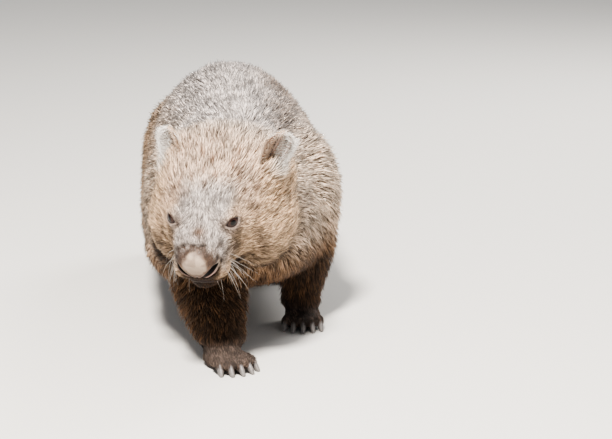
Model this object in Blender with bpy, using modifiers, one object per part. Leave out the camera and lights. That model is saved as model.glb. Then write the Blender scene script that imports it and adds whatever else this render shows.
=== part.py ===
"""A life-size wombat in mid stride, for Blender 4.5.

Metres, +Z up. The animal walks towards -Y, so its right side is at -X and its left side at +X.
The flesh is modelled whole, from lofts along the trunk, head and legs that are melted together, and is
then parted along thin gaps into the pieces that a person would name.
"""

import math

import bmesh
import bpy
import numpy as np
from mathutils import Matrix, Vector

GAP = 0.0003
FAR = 1.0
SHARP_ANGLE = math.radians(40)

# The trunk: place along Y, half width, height of the back, height of the belly
TRUNK_STATIONS = (
    (0.392, 0.038, 0.236, 0.168),
    (0.368, 0.080, 0.279, 0.122),
    (0.315, 0.113, 0.312, 0.096),
    (0.240, 0.135, 0.336, 0.082),
    (0.140, 0.146, 0.349, 0.074),
    (0.030, 0.150, 0.350, 0.071),
    (-0.060, 0.149, 0.346, 0.072),
    (-0.140, 0.143, 0.341, 0.073),
    (-0.200, 0.133, 0.335, 0.073),
    (-0.250, 0.119, 0.325, 0.077),
    (-0.300, 0.099, 0.300, 0.092),
    (-0.335, 0.068, 0.262, 0.120),
)
TRUNK_RINGS = 44
WIDEST_LEVEL = 0.27
BACK_POWER = 2.0
BELLY_POWER = 2.6
NECK_BEND_START = -0.12
NECK_BEND_RATE = 0.16

# The head, in its own frame: origin at the tip of the nose, +Y to the back of the skull
NOSE_TIP = Vector((-0.080, -0.470, 0.165))
HEAD_PITCH = math.radians(30)
HEAD_YAW = math.radians(-18.5)
HEAD_ROLL = math.radians(1)

# The skull and the nose: place along the head, half width, top, bottom
SKULL_STATIONS = (
    (0.009, 0.018, 0.004, -0.030),
    (0.016, 0.028, 0.0165, -0.040),
    (0.024, 0.0350, 0.0235, -0.047),
    (0.035, 0.0385, 0.0290, -0.052),
    (0.048, 0.0420, 0.0345, -0.058),
    (0.060, 0.0520, 0.0400, -0.063),
    (0.073, 0.0620, 0.0450, -0.068),
    (0.092, 0.072, 0.0520, -0.077),
    (0.118, 0.083, 0.060, -0.088),
    (0.147, 0.094, 0.069, -0.096),
    (0.177, 0.100, 0.075, -0.099),
    (0.207, 0.100, 0.075, -0.098),
    (0.237, 0.091, 0.066, -0.088),
    (0.262, 0.070, 0.046, -0.064),
)
SKULL_RINGS = 40
SKULL_POWER = 2.2
NOSE_STATIONS = (
    (0.000, 0.012, 0.000, -0.018),
    (0.003, 0.020, 0.006, -0.026),
    (0.008, 0.0265, 0.0115, -0.0305),
    (0.014, 0.0292, 0.0145, -0.0310),
    (0.022, 0.0285, 0.0145, -0.0270),
    (0.030, 0.0220, 0.0110, -0.0190),
    (0.036, 0.0120, 0.0050, -0.0090),
)
NOSE_RINGS = 12
NOSE_POWER = 2.4
MUSCLES = {
    "shoulder_right": ((-0.085, -0.150, 0.190), (0.064, 0.090, 0.110)),
    "shoulder_left": ((0.092, -0.120, 0.185), (0.065, 0.085, 0.110)),
    "haunch_right": ((-0.082, 0.235, 0.170), (0.065, 0.115, 0.115)),
    "haunch_left": ((0.082, 0.195, 0.170), (0.066, 0.120, 0.115)),
}

# Mounds on each side of the face: centre and radii in the head's own frame
FACE_MOUNDS = {
    "cheek": (Vector((0.055, 0.150, -0.042)), Vector((0.053, 0.078, 0.068))),
    "brow": (Vector((0.0272, 0.0748, 0.0235)), Vector((0.025, 0.028, 0.021))),
    "muzzle_pad": (Vector((0.021, 0.028, -0.028)), Vector((0.020, 0.022, 0.018))),
}
CHIN_CENTRE = Vector((0.0, 0.046, -0.057))
CHIN_RADII = Vector((0.026, 0.030, 0.013))

NOSTRIL_OUTER = Vector((0.0255, 0.0060, -0.0070))
NOSTRIL_INNER = Vector((0.0040, 0.0010, -0.0290))
NOSTRIL_THICKNESS = 0.0046
NOSTRIL_DEPTH = 0.013

# The mouth lies in a plane that drops towards the back of the jaw
MOUTH_FRONT = Vector((0.0, 0.002, -0.042))
MOUTH_SLOPE = math.radians(-12)
MOUTH_HALF_WIDTH = 0.032
MOUTH_LENGTH = 0.042
MOUTH_LINE = 0.0017
MOUTH_REACH = 0.008
JAW_LENGTH = 0.066
JAW_HALF_WIDTH = 0.040
JAW_DEPTH = 0.047
JAW_FRONT = -0.05

EYE_RADIUS = 0.0120
EYE_CENTRE = Vector((0.0370, 0.0650, 0.0275))
EYE_OUTWARD = Vector((0.68, -0.68, 0.28))
LID_RADIUS = 0.0144
LID_OPENING = Vector((0.0118, 0.0082, 0.020))
LID_SLANT = math.radians(8)

# Ears: height, half width, and the lean outward, lean backward and turn outward of each
EAR_BASE = Vector((0.076, 0.160, 0.044))
EAR_HEIGHT = 0.056
EAR_ROOT = 0.018
EAR_HALF_WIDTH = 0.0205
EAR_WALL = 0.0042
EAR_ROWS = 9
EAR_TIP_ANGLE = math.radians(82)
EAR_COLUMNS = 9
EAR_POSES = {
    "ear_right": (-1, math.radians(2), math.radians(16), math.radians(34)),
    "ear_left": (1, math.radians(24), math.radians(14), math.radians(52)),
}

# Legs: each joint's place, and the limb's half width and half depth there
LEGS = {
    "foreleg_right": (
        ((-0.072, -0.135, 0.225), 0.048, 0.070),
        ((-0.073, -0.210, 0.150), 0.056, 0.068),
        ((-0.054, -0.292, 0.090), 0.056, 0.056),
        ((-0.046, -0.340, 0.048), 0.044, 0.043),
        ((-0.037, -0.362, 0.020), 0.032, 0.033),
    ),
    "foreleg_left": (
        ((0.082, -0.120, 0.220), 0.050, 0.072),
        ((0.098, -0.130, 0.150), 0.052, 0.064),
        ((0.096, -0.142, 0.090), 0.043, 0.048),
        ((0.090, -0.155, 0.048), 0.033, 0.037),
        ((0.088, -0.165, 0.020), 0.029, 0.033),
    ),
    "hindleg_right": (
        ((-0.072, 0.215, 0.210), 0.054, 0.100),
        ((-0.090, 0.232, 0.145), 0.051, 0.082),
        ((-0.096, 0.258, 0.088), 0.041, 0.055),
        ((-0.094, 0.280, 0.046), 0.032, 0.038),
        ((-0.094, 0.276, 0.020), 0.030, 0.038),
    ),
    "hindleg_left": (
        ((0.072, 0.205, 0.210), 0.054, 0.100),
        ((0.091, 0.178, 0.145), 0.051, 0.082),
        ((0.097, 0.160, 0.088), 0.041, 0.055),
        ((0.095, 0.166, 0.046), 0.032, 0.038),
        ((0.095, 0.158, 0.020), 0.030, 0.038),
    ),
}
LEG_RINGS = 24

# Feet: where the sole's middle stands, heading from straight ahead, half width, half length and toes
FEET = {
    "forefoot_right": ((-0.037, -0.387), 24, 0.029, 0.040, 5),
    "forefoot_left": ((0.090, -0.176), -4, 0.028, 0.038, 5),
    "hindfoot_right": ((-0.094, 0.250), 6, 0.031, 0.054, 4),
    "hindfoot_left": ((0.095, 0.132), -6, 0.031, 0.054, 4),
}
FOOT_TOP = 0.033
PALM_LEVEL = 0.012
TOE_LEVEL = 0.013
TOE_RADIUS = 0.0100
TOE_FAN = 16
TOE_BALLS = 5
CLAW_LENGTH = 0.023
CLAW_RADIUS = 0.0066
CLAW_DROOP = 0.0120
CLAW_SIDES = 6
CLAW_RINGS = 5
GROUND_CLEARANCE = 0.0006

TAIL_PLACES = ((0.366, 0.212, 0.015), (0.392, 0.200, 0.012), (0.406, 0.190, 0.008))

FLESH_VOXEL = 0.0045
FLESH_SMOOTHING = 14
FLESH_TRIANGLES = 5800
FOOT_VOXEL = 0.0022
FOOT_SMOOTHING = 3
FOOT_TRIANGLES = 360
DETAIL_STRENGTH = 0.0006
MUZZLE_WEIGHT = 0.2
MUZZLE_END = 0.10
SKULL_WEIGHT = 0.6
SKULL_END = 0.20
FACE_BOTTOM = -0.085

# The head is parted from the neck by an oval: its centre and radii in the head's own frame
HEAD_OVAL = (Vector((0.0, 0.075, -0.005)), Vector((0.19, 0.145, 0.138)))

# Regions that part the rest: lowest and highest corner of each, in the order that they are cut
LIMB_REGIONS = {
    "foreleg_right": ((-0.20, -0.50, -0.10), (0.020, -0.10, 0.130)),
    "foreleg_left": ((0.035, -0.26, -0.10), (0.25, -0.04, 0.130)),
    "hindleg_right": ((-0.25, 0.13, -0.10), (-0.035, 0.36, 0.130)),
    "hindleg_left": ((0.035, 0.06, -0.10), (0.25, 0.28, 0.130)),
    "shoulder_right": ((-0.30, -0.20, 0.130), (-0.075, -0.035, 0.27)),
    "shoulder_left": ((0.075, -0.20, 0.130), (0.30, -0.035, 0.27)),
    "thigh_right": ((-0.30, 0.12, 0.130), (-0.075, 0.33, 0.26)),
    "thigh_left": ((0.075, 0.08, 0.130), (0.30, 0.30, 0.26)),
}
TRUNK_REGIONS = {
    "neck": ((-FAR, -FAR, -FAR), (FAR, -0.205, FAR)),
    "rump": ((-FAR, 0.150, -FAR), (FAR, FAR, FAR)),
    "chest": ((-FAR, -FAR, -FAR), (FAR, -0.030, FAR)),
}


def clear_scene():
    for old in list(bpy.data.objects):
        bpy.data.objects.remove(old, do_unlink=True)


def collection(name, shown=True):
    made = bpy.data.collections.new(name)
    made.hide_render = not shown
    bpy.context.scene.collection.children.link(made)
    return made


def material(name, colour, roughness):
    made = bpy.data.materials.new(name)
    made.use_nodes = True
    shader = made.node_tree.nodes["Principled BSDF"]
    shader.inputs["Base Color"].default_value = (*colour, 1.0)
    shader.inputs["Roughness"].default_value = roughness
    return made


def add_object(name, mesh, where):
    obj = bpy.data.objects.new(name, mesh)
    where.objects.link(obj)
    return obj


def drop(objects):
    for obj in list(objects):
        bpy.data.objects.remove(obj, do_unlink=True)


def mirrored(vector, side):
    return Vector((vector.x * side, vector.y, vector.z))


def circle(count):
    return np.linspace(0, 2 * math.pi, count, endpoint=False)[None, :]


def rounded(wave, power):
    """A cosine or sine bent so that a circle of them becomes a squarer oval."""
    return np.sign(wave) * np.abs(wave) ** (2 / power)


def smooth_between(stations, count):
    """Values at evenly spaced places, on a cubic curve through rows of (place, values)."""
    rows = np.array(sorted(stations), float)
    place = rows[:, 0]
    at = np.linspace(place[0], place[-1], count)
    slope = np.gradient(rows[:, 1:], place, axis=0)
    index = np.clip(np.searchsorted(place, at) - 1, 0, len(place) - 2)
    span = (place[index + 1] - place[index])[:, None]
    t = ((at - place[index])[:, None]) / span
    start, end = rows[index, 1:], rows[index + 1, 1:]
    values = (
        start * (1 + 2 * t) * (1 - t) ** 2
        + end * t**2 * (3 - 2 * t)
        + slope[index] * span * t * (1 - t) ** 2
        - slope[index + 1] * span * t**2 * (1 - t)
    )
    return at[:, None], values.T[:, :, None]


def face_out(mesh):
    shape = bmesh.new()
    shape.from_mesh(mesh)
    bmesh.ops.recalc_face_normals(shape, faces=shape.faces)
    shape.to_mesh(mesh)
    shape.free()


def loft(name, x, y, z, where, frame=None):
    """A closed skin over rings of points, each end drawn to a point at its middle."""
    rings = np.stack(np.broadcast_arrays(x, y, z), axis=-1)
    count, around = rings.shape[:2]
    ends = np.array([rings[0].mean(axis=0), rings[-1].mean(axis=0)])
    index = np.arange(count * around).reshape(count, around)
    after = np.roll(index, -1, axis=1)
    quads = np.stack([index[:-1], after[:-1], after[1:], index[1:]], axis=-1).reshape(-1, 4)
    first = count * around
    caps = [(first, b, a) for a, b in zip(index[0], after[0])]
    caps += [(first + 1, a, b) for a, b in zip(index[-1], after[-1])]
    mesh = bpy.data.meshes.new(name)
    points = np.vstack([rings.reshape(-1, 3), ends])
    mesh.from_pydata(points.tolist(), [], quads.tolist() + caps)
    face_out(mesh)
    if frame is not None:
        mesh.transform(frame)
    return add_object(name, mesh, where)


def ellipsoid(name, centre, radii, where, frame=None, detail=3):
    mesh = bpy.data.meshes.new(name)
    shape = bmesh.new()
    bmesh.ops.create_icosphere(shape, subdivisions=detail, radius=1.0)
    bmesh.ops.scale(shape, vec=radii, verts=shape.verts)
    bmesh.ops.translate(shape, vec=centre, verts=shape.verts)
    shape.to_mesh(mesh)
    shape.free()
    if frame is not None:
        mesh.transform(frame)
    return add_object(name, mesh, where)


def box(name, low, high, where, frame=None):
    mesh = bpy.data.meshes.new(name)
    shape = bmesh.new()
    bmesh.ops.create_cube(shape, size=1.0)
    bmesh.ops.scale(shape, vec=Vector(high) - Vector(low), verts=shape.verts)
    bmesh.ops.translate(shape, vec=(Vector(low) + Vector(high)) / 2, verts=shape.verts)
    shape.to_mesh(mesh)
    shape.free()
    if frame is not None:
        mesh.transform(frame)
    return add_object(name, mesh, where)


def settle(obj):
    """Gives the object the mesh that its modifiers make."""
    graph = bpy.context.evaluated_depsgraph_get()
    mesh = bpy.data.meshes.new_from_object(obj.evaluated_get(graph))
    obj.modifiers.clear()
    obj.data = mesh
    return obj


def joined(name, pieces, where):
    shape = bmesh.new()
    for piece in pieces:
        shape.from_mesh(piece.data)
    mesh = bpy.data.meshes.new(name)
    shape.to_mesh(mesh)
    shape.free()
    drop(pieces)
    return add_object(name, mesh, where)


def melt(obj, voxel, rounds):
    """Fuses overlapping closed shapes into one skin and softens the creases between them."""
    fuse = obj.modifiers.new("fuse", "REMESH")
    fuse.mode = "VOXEL"
    fuse.voxel_size = voxel
    soften = obj.modifiers.new("soften", "SMOOTH")
    soften.factor = 0.5
    soften.iterations = rounds
    return settle(obj)


def thin_out(obj, triangles, detail=None):
    """Reduces the mesh, keeping more of it where the function `detail` gives a low weight."""
    reduce = obj.modifiers.new("reduce", "DECIMATE")
    reduce.ratio = triangles / (2 * len(obj.data.polygons))
    if detail is not None:
        group = obj.vertex_groups.new(name="detail")
        for vertex in obj.data.vertices:
            group.add([vertex.index], detail(vertex.co), "REPLACE")
        reduce.vertex_group = group.name
        reduce.vertex_group_factor = DETAIL_STRENGTH
    settle(obj)
    obj.vertex_groups.clear()
    return obj


def combine(obj, other, operation):
    """Applies one exact Boolean between two closed meshes."""
    step = obj.modifiers.new("combine", "BOOLEAN")
    step.operation = operation
    step.solver = "EXACT"
    step.object = other
    return settle(obj)


def swollen(obj, tools):
    """A copy of a closed mesh that stands proud of it by the gap."""
    copy = add_object(obj.name + "_swollen", obj.data.copy(), tools)
    push = copy.modifiers.new("push", "DISPLACE")
    push.mid_level = 0.0
    push.strength = GAP
    return settle(copy)


def faces_joined_to(face, left):
    """Takes from the set `left` all the faces that share a closed surface with one face."""
    found = [face]
    for reached in found:
        near = {other for edge in reached.edges for other in edge.link_faces} & left
        left -= near
        found.extend(near)
    return found


def keep_largest(obj):
    """Leaves only the closed surface that has the most area."""
    shape = bmesh.new()
    shape.from_mesh(obj.data)
    left = set(shape.faces)
    surfaces = []
    while left:
        surfaces.append(faces_joined_to(left.pop(), left))
    surfaces.sort(key=lambda faces: sum(face.calc_area() for face in faces))
    for faces in surfaces[:-1]:
        bmesh.ops.delete(shape, geom=faces, context="FACES")
    shape.to_mesh(obj.data)
    shape.free()
    return obj


def take(flesh, name, region, wider, where):
    """Cuts the flesh inside one closed shape off as a node, and clears it from a wider shape."""
    node = add_object(name, flesh.data.copy(), where)
    combine(node, region, "INTERSECT")
    combine(flesh, wider, "DIFFERENCE")
    keep_largest(flesh)
    return keep_largest(node)


def take_box(flesh, name, low, high, where, tools, frame=None):
    """Parts off what lies between two corners, with the gap outside them."""
    proud = Vector((GAP, GAP, GAP))
    region = box("region", low, high, tools, frame)
    wider = box("wider_region", Vector(low) - proud, Vector(high) + proud, tools, frame)
    return take(flesh, name, region, wider, where)


def take_oval(flesh, name, centre, radii, where, tools, frame):
    """Parts off what lies inside an oval, with the gap outside it."""
    region = ellipsoid("region", centre, radii, tools, frame)
    wider = ellipsoid("wider_region", centre, radii + Vector((GAP, GAP, GAP)), tools, frame)
    return take(flesh, name, region, wider, where)


def head_frame():
    turn = Matrix.Rotation(HEAD_YAW, 4, "Z") @ Matrix.Rotation(HEAD_PITCH, 4, "X")
    return Matrix.Translation(NOSE_TIP) @ turn @ Matrix.Rotation(HEAD_ROLL, 4, "Y")


def mouth_frame():
    return head_frame() @ Matrix.Translation(MOUTH_FRONT) @ Matrix.Rotation(MOUTH_SLOPE, 4, "X")


def foot_frame(name):
    x, y = FEET[name][0]
    heading = math.radians(FEET[name][1])
    return Matrix.Translation((x, y, 0.0)) @ Matrix.Rotation(heading, 4, "Z")


def trunk(tools):
    """Rings across the body, round over the back and flatter below, that bend right at the neck."""
    at, (half, back, belly) = smooth_between(TRUNK_STATIONS, TRUNK_RINGS)
    turn = circle(40)
    widest = belly + WIDEST_LEVEL * (back - belly)
    above = np.sin(turn) > 0
    power = np.where(above, BACK_POWER, BELLY_POWER)
    reach = np.where(above, back - widest, widest - belly)
    bend = NECK_BEND_RATE * np.clip(NECK_BEND_START - at, 0, None)
    x = half * rounded(np.cos(turn), power) - bend
    z = widest + reach * rounded(np.sin(turn), power)
    return loft("trunk", x, at, z, tools)


def head_loft(name, stations, power, rings, sides, where):
    """Rings across the long axis of the head."""
    at, (half, top, bottom) = smooth_between(stations, rings)
    turn = circle(sides)
    x = half * rounded(np.cos(turn), power)
    z = (top + bottom) / 2 + (top - bottom) / 2 * rounded(np.sin(turn), power)
    return loft(name, x, at, z, where, head_frame())


def limb(name, joints, where):
    """An oval profile carried through the joints, level rings from top to bottom."""
    stations = [(i, *place, wide, deep) for i, (place, wide, deep) in enumerate(joints)]
    _, (x, y, z, wide, deep) = smooth_between(stations, LEG_RINGS)
    turn = circle(28)
    return loft(name, x + wide * np.cos(turn), y + deep * np.sin(turn), z, where)


def tail(where):
    """A stub that tapers down over the rump."""
    y, z, radius = (np.array(values)[:, None] for values in zip(*TAIL_PLACES))
    turn = circle(12)
    return loft("tail", radius * np.cos(turn), y, z + radius * np.sin(turn), where)


def whole_flesh(tools):
    frame = head_frame()
    pieces = [trunk(tools)]
    pieces.append(head_loft("skull", SKULL_STATIONS, SKULL_POWER, SKULL_RINGS, 40, tools))
    pieces.append(ellipsoid("chin", CHIN_CENTRE, CHIN_RADII, tools, frame))
    for side in (-1, 1):
        for name, (centre, radii) in FACE_MOUNDS.items():
            pieces.append(ellipsoid(name, mirrored(centre, side), radii, tools, frame))
    for name, (centre, radii) in MUSCLES.items():
        pieces.append(ellipsoid(name, Vector(centre), Vector(radii), tools))
    for name, joints in LEGS.items():
        pieces.append(limb(name, joints, tools))
    flesh = melt(joined("flesh", pieces, tools), FLESH_VOXEL, FLESH_SMOOTHING)
    to_head = frame.inverted()

    def detail(point):
        local = to_head @ point
        if local.z < FACE_BOTTOM or local.y > SKULL_END:
            return 1.0
        return MUZZLE_WEIGHT if local.y < MUZZLE_END else SKULL_WEIGHT

    return thin_out(flesh, FLESH_TRIANGLES, detail)


def open_eye(flesh, name, side, where, tools):
    """An eyeball under two lids: a thin dome over it, with an almond opening cut through."""
    out = mirrored(EYE_OUTWARD, side).normalized()
    look = out.to_track_quat("Z", "Y").to_matrix().to_4x4()
    frame = head_frame() @ Matrix.Translation(mirrored(EYE_CENTRE, side)) @ look
    middle = Vector((0, 0, 0))
    ball = Vector((EYE_RADIUS, EYE_RADIUS, EYE_RADIUS))
    dome = Vector((LID_RADIUS, LID_RADIUS, LID_RADIUS))
    slant = frame @ Matrix.Rotation(side * LID_SLANT, 4, "Z")
    ahead = Vector((0, 0, LID_OPENING.z))
    eye = ellipsoid(name, middle, ball, where, frame)
    combine(flesh, ellipsoid("lid", middle, dome, tools, frame), "UNION")
    combine(flesh, ellipsoid("opening", ahead, LID_OPENING, tools, slant), "DIFFERENCE")
    combine(flesh, swollen(eye, tools), "DIFFERENCE")
    return eye


def nostril(side, tools):
    """A flat lens lying along the slit, which leans in to the middle of the lip."""
    outer, inner = mirrored(NOSTRIL_OUTER, side), mirrored(NOSTRIL_INNER, side)
    along = (outer - inner).normalized()
    deep = Vector((0, 1, 0))
    deep = (deep - along * deep.dot(along)).normalized()
    turn = Matrix((along, deep, along.cross(deep))).transposed().to_4x4()
    frame = head_frame() @ Matrix.Translation((outer + inner) / 2) @ turn
    radii = Vector(((outer - inner).length / 2, NOSTRIL_DEPTH, NOSTRIL_THICKNESS / 2))
    return ellipsoid("nostril", Vector((0, 0, 0)), radii, tools, frame, detail=2)


def mouth(tools):
    """A thin groove under the upper lip, bent back along each side of the muzzle."""
    at = np.linspace(-1, 1, 21)[:, None]
    turn = circle(6)
    out_x, out_y = np.sin(at * math.pi / 2), -np.cos(at * math.pi / 2)
    x = MOUTH_HALF_WIDTH * out_x + MOUTH_REACH * np.cos(turn) * out_x
    y = MOUTH_LENGTH * at**2 + MOUTH_REACH * np.cos(turn) * out_y
    return loft("mouth", x, y, MOUTH_LINE * np.sin(turn), tools, mouth_frame())


def ear(name, where):
    """A cupped leaf, open to the front, that narrows to a blunt tip."""
    side, lean_out, lean_back, turn_out = EAR_POSES[name]
    up = np.sin(np.linspace(0, EAR_TIP_ANGLE, EAR_ROWS))[:, None]
    across = np.linspace(-1, 1, EAR_COLUMNS)[None, :]
    half = EAR_HALF_WIDTH * (0.72 + 0.55 * up) * (1 - up**6) ** 0.5
    bend = np.radians(78 - 40 * up)
    radius = half / np.sin(bend)
    x = radius * np.sin(across * bend)
    y = radius * np.cos(across * bend) - radius * np.cos(bend)
    z = -EAR_ROOT + (EAR_HEIGHT + EAR_ROOT) * up - 0.006 * across**2 * up
    points = np.stack([x, y, z], axis=-1).reshape(-1, 3)
    index = np.arange(EAR_ROWS * EAR_COLUMNS).reshape(EAR_ROWS, EAR_COLUMNS)
    corners = (index[:-1, :-1], index[:-1, 1:], index[1:, 1:], index[1:, :-1])
    mesh = bpy.data.meshes.new(name)
    mesh.from_pydata(points.tolist(), [], np.stack(corners, axis=-1).reshape(-1, 4).tolist())
    made = add_object(name, mesh, where)
    wall = made.modifiers.new("wall", "SOLIDIFY")
    wall.thickness = EAR_WALL
    wall.offset = 0.0
    settle(made)
    face_out(made.data)
    lean = Matrix.Rotation(side * lean_out, 4, "Y") @ Matrix.Rotation(-lean_back, 4, "X")
    place = Matrix.Translation(mirrored(EAR_BASE, side))
    made.data.transform(head_frame() @ place @ lean @ Matrix.Rotation(side * turn_out, 4, "Z"))
    return made


def toe_rays(name):
    """Root, tip and direction of each toe, in the foot's own frame."""
    _, _, half_width, half_length, count = FEET[name]
    for offset in np.linspace(-1, 1, count):
        angle = math.radians(TOE_FAN) * offset
        out = Vector((math.sin(angle), -math.cos(angle), 0.0))
        root = Vector((0.72 * half_width * offset, -0.55 * half_length, TOE_LEVEL))
        reach = half_length * (0.62 - 0.26 * offset * offset)
        yield root, root + out * reach, out


def foot(name, where, tools):
    """A flat-soled paw with short toes."""
    _, _, half_width, half_length, _ = FEET[name]
    palm = Vector((half_width, half_length, FOOT_TOP - PALM_LEVEL))
    pieces = [ellipsoid("palm", Vector((0, 0, PALM_LEVEL)), palm, tools)]
    for root, tip, _ in toe_rays(name):
        for step in np.linspace(0, 1, TOE_BALLS):
            size = TOE_RADIUS * (1.12 - 0.16 * step)
            place = root.lerp(tip, step)
            pieces.append(ellipsoid("toe", place, Vector((size, size, size)), tools, detail=2))
    made = melt(joined(name, pieces, where), FOOT_VOXEL, FOOT_SMOOTHING)
    thin_out(made, FOOT_TRIANGLES)
    made.data.transform(foot_frame(name))
    combine(made, box("ground", (-FAR, -FAR, -FAR), (FAR, FAR, 0.0), tools), "DIFFERENCE")
    return keep_largest(made)


def claw(name, root, out, where, frame):
    """A tapered blade that curves down from the end of a toe."""
    along = np.linspace(0, 1, CLAW_RINGS)[:, None]
    turn = circle(CLAW_SIDES)
    size = CLAW_RADIUS * (1 - 0.90 * along) ** 0.5
    across = 0.72 * size * np.cos(turn)
    x = root.x + along * CLAW_LENGTH * out.x - across * out.y
    y = root.y + along * CLAW_LENGTH * out.y + across * out.x
    z = root.z - CLAW_DROOP * along**1.8 + size * np.sin(turn)
    return loft(name, x, y, z, where, frame)


def claws(name, foot_node, where, tools):
    """One claw for each toe, cut off where the toe's skin begins."""
    shell = swollen(foot_node, tools)
    ground = box("ground", (-FAR, -FAR, -FAR), (FAR, FAR, GROUND_CLEARANCE), tools)
    for number, (_, tip, out) in enumerate(toe_rays(name), start=1):
        made = claw(f"{name}_claw_{number}", tip, out, where, foot_frame(name))
        combine(made, shell, "DIFFERENCE")
        combine(made, ground, "DIFFERENCE")
        keep_largest(made)


def finish(animal, materials):
    """Gives each node its material, and puts the origin under the middle of the animal's box."""
    corners = [obj.matrix_world @ Vector(c) for obj in animal.objects for c in obj.bound_box]
    low = [min(c[axis] for c in corners) for axis in range(3)]
    high = [max(c[axis] for c in corners) for axis in range(3)]
    centre = Vector(((low[0] + high[0]) / 2, (low[1] + high[1]) / 2, low[2]))
    for obj in animal.objects:
        kind = next((key for key in materials if key in obj.name), "coat")
        obj.data.materials.clear()
        obj.data.materials.append(materials[kind])
        obj.data.transform(Matrix.Translation(-centre))
        obj.data.shade_smooth()
        obj.data.set_sharp_from_angle(angle=SHARP_ANGLE)


def main():
    clear_scene()
    animal = collection("wombat")
    tools = collection("tools", shown=False)
    materials = {
        "coat": material("short_coat", (0.42, 0.33, 0.24), 0.9),
        "ear": material("ear_skin", (0.58, 0.50, 0.42), 0.85),
        "nose": material("bare_nose", (0.45, 0.37, 0.30), 0.5),
        "claw": material("claw_horn", (0.45, 0.43, 0.40), 0.35),
        "eye": material("dark_eye", (0.03, 0.018, 0.012), 0.05),
    }

    flesh = whole_flesh(tools)
    open_eye(flesh, "eye_right", -1, animal, tools)
    open_eye(flesh, "eye_left", 1, animal, tools)
    nose = head_loft("nose", NOSE_STATIONS, NOSE_POWER, NOSE_RINGS, 24, animal)
    combine(flesh, swollen(nose, tools), "DIFFERENCE")
    for side in (-1, 1):
        slit = nostril(side, tools)
        combine(flesh, slit, "DIFFERENCE")
        combine(nose, slit, "DIFFERENCE")
    combine(flesh, mouth(tools), "DIFFERENCE")

    for name in FEET:
        made = foot(name, animal, tools)
        combine(flesh, swollen(made, tools), "DIFFERENCE")
        claws(name, made, animal, tools)
    keep_largest(flesh)

    low, high = (-JAW_HALF_WIDTH, JAW_FRONT, -JAW_DEPTH), (JAW_HALF_WIDTH, JAW_LENGTH, 0.0)
    take_box(flesh, "jaw", low, high, animal, tools, mouth_frame())
    head = take_oval(flesh, "head", *HEAD_OVAL, animal, tools, head_frame())
    shell = swollen(head, tools)
    for name in EAR_POSES:
        keep_largest(combine(ear(name, animal), shell, "DIFFERENCE"))
    for name, corners in {**LIMB_REGIONS, **TRUNK_REGIONS}.items():
        take_box(flesh, name, *corners, animal, tools)
    rump = animal.objects["rump"]
    keep_largest(combine(tail(animal), swollen(rump, tools), "DIFFERENCE"))
    add_object("belly", flesh.data.copy(), animal)
    drop(tools.objects)
    finish(animal, materials)


main()
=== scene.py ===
"""A walking wombat in its coat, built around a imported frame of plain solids, for Blender 4.5.

Metres, +Z up, the animal walks towards -Y. The skin is fused from the solids of the flesh; hair,
nose, eyes, lids, lips, ears, claws and whiskers are surfaces worked out as whole arrays. The head
has a frame of its own: origin at the tip of the nose, +Y to the back of the skull, +Z to its crown.
"""

import itertools
import math

import bpy
import numpy as np
from bpy.props import FloatProperty, FloatVectorProperty, IntProperty, PointerProperty
from mathutils import Matrix, Vector
from mathutils.bvhtree import BVHTree


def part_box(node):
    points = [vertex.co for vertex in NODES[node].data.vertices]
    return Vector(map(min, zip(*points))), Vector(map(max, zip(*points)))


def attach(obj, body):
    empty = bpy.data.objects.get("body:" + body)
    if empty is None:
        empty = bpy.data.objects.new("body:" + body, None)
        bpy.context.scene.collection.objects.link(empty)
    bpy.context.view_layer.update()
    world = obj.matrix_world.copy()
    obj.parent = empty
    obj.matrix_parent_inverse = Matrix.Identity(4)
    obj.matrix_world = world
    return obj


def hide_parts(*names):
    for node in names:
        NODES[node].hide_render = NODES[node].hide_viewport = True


bl_info = {
    "name": "Walking Wombat",
    "version": (1, 0, 0),
    "blender": (4, 5, 0),
    "location": "3D View > Sidebar > Wombat",
    "description": "Dresses the solids of a life-size wombat in skin, hair, face, ears and claws",
    "category": "Add Mesh",
}

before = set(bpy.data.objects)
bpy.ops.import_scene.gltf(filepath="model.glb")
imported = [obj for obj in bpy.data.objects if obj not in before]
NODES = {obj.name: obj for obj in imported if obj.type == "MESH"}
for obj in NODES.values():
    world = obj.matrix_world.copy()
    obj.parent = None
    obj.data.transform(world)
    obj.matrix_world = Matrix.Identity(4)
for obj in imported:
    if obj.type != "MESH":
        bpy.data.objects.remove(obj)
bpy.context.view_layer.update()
FLESH = sorted(n for n in NODES if "claw" not in n and n[:3] not in ("eye", "ear", "nos"))
CLAWS = sorted(n for n in NODES if "claw" in n)
SIDES = {"right": -1, "left": 1}

# The head as the solids have it: its turn in degrees, and points in its own frame
HEAD_YAW = -18.5
HEAD_PITCH = 30
HEAD_ROLL = 1
EYE_CENTRE = np.array((0.0370, 0.0650, 0.0275))
EYE_OUTWARD = np.array((0.68, -0.68, 0.28))
EYE_RADIUS = 0.0120
CORNEA_SWELL = 0.05
EYE_HOLLOW = 0.0085
# Where the painted shade at each eye's inner corner lies, from the eye's centre
INNER_CORNER_SHADE = np.array((-0.0030, -0.0150, 0.0010))
LID_THICKNESS = 0.0020
LID_HALF_LENGTH = 0.0105
LID_HALF_WIDTH = 0.0062
LID_SLANT = 8
LID_REACH = math.radians(86)
NOSE_HALF_WIDTH = 0.0292
NOSE_HALF_HEIGHT = 0.0228
NOSE_MIDDLE = -0.0082
NOSE_DEPTH = 0.018
DOME_RADIUS = 0.0172
DOME_MIDDLE = -0.0030
NOSTRIL_OUTER = np.array((0.0255, -0.0070))
NOSTRIL_INNER = np.array((0.0040, -0.0290))
NOSTRIL_WIDTHS = (0.0016, 0.0034)
NOSTRIL_DEPTH = 0.0085
MOUTH_FRONT = np.array((0.0, 0.002, -0.042))
MOUTH_SLOPE = -12
MOUTH_MIDDLE = 0.045
MOUTH_HALF_ANGLE = 104
LIPS = (("upper_lip", 0.0016, 0.0022), ("lower_lip", -0.0015, 0.0019))
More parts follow.
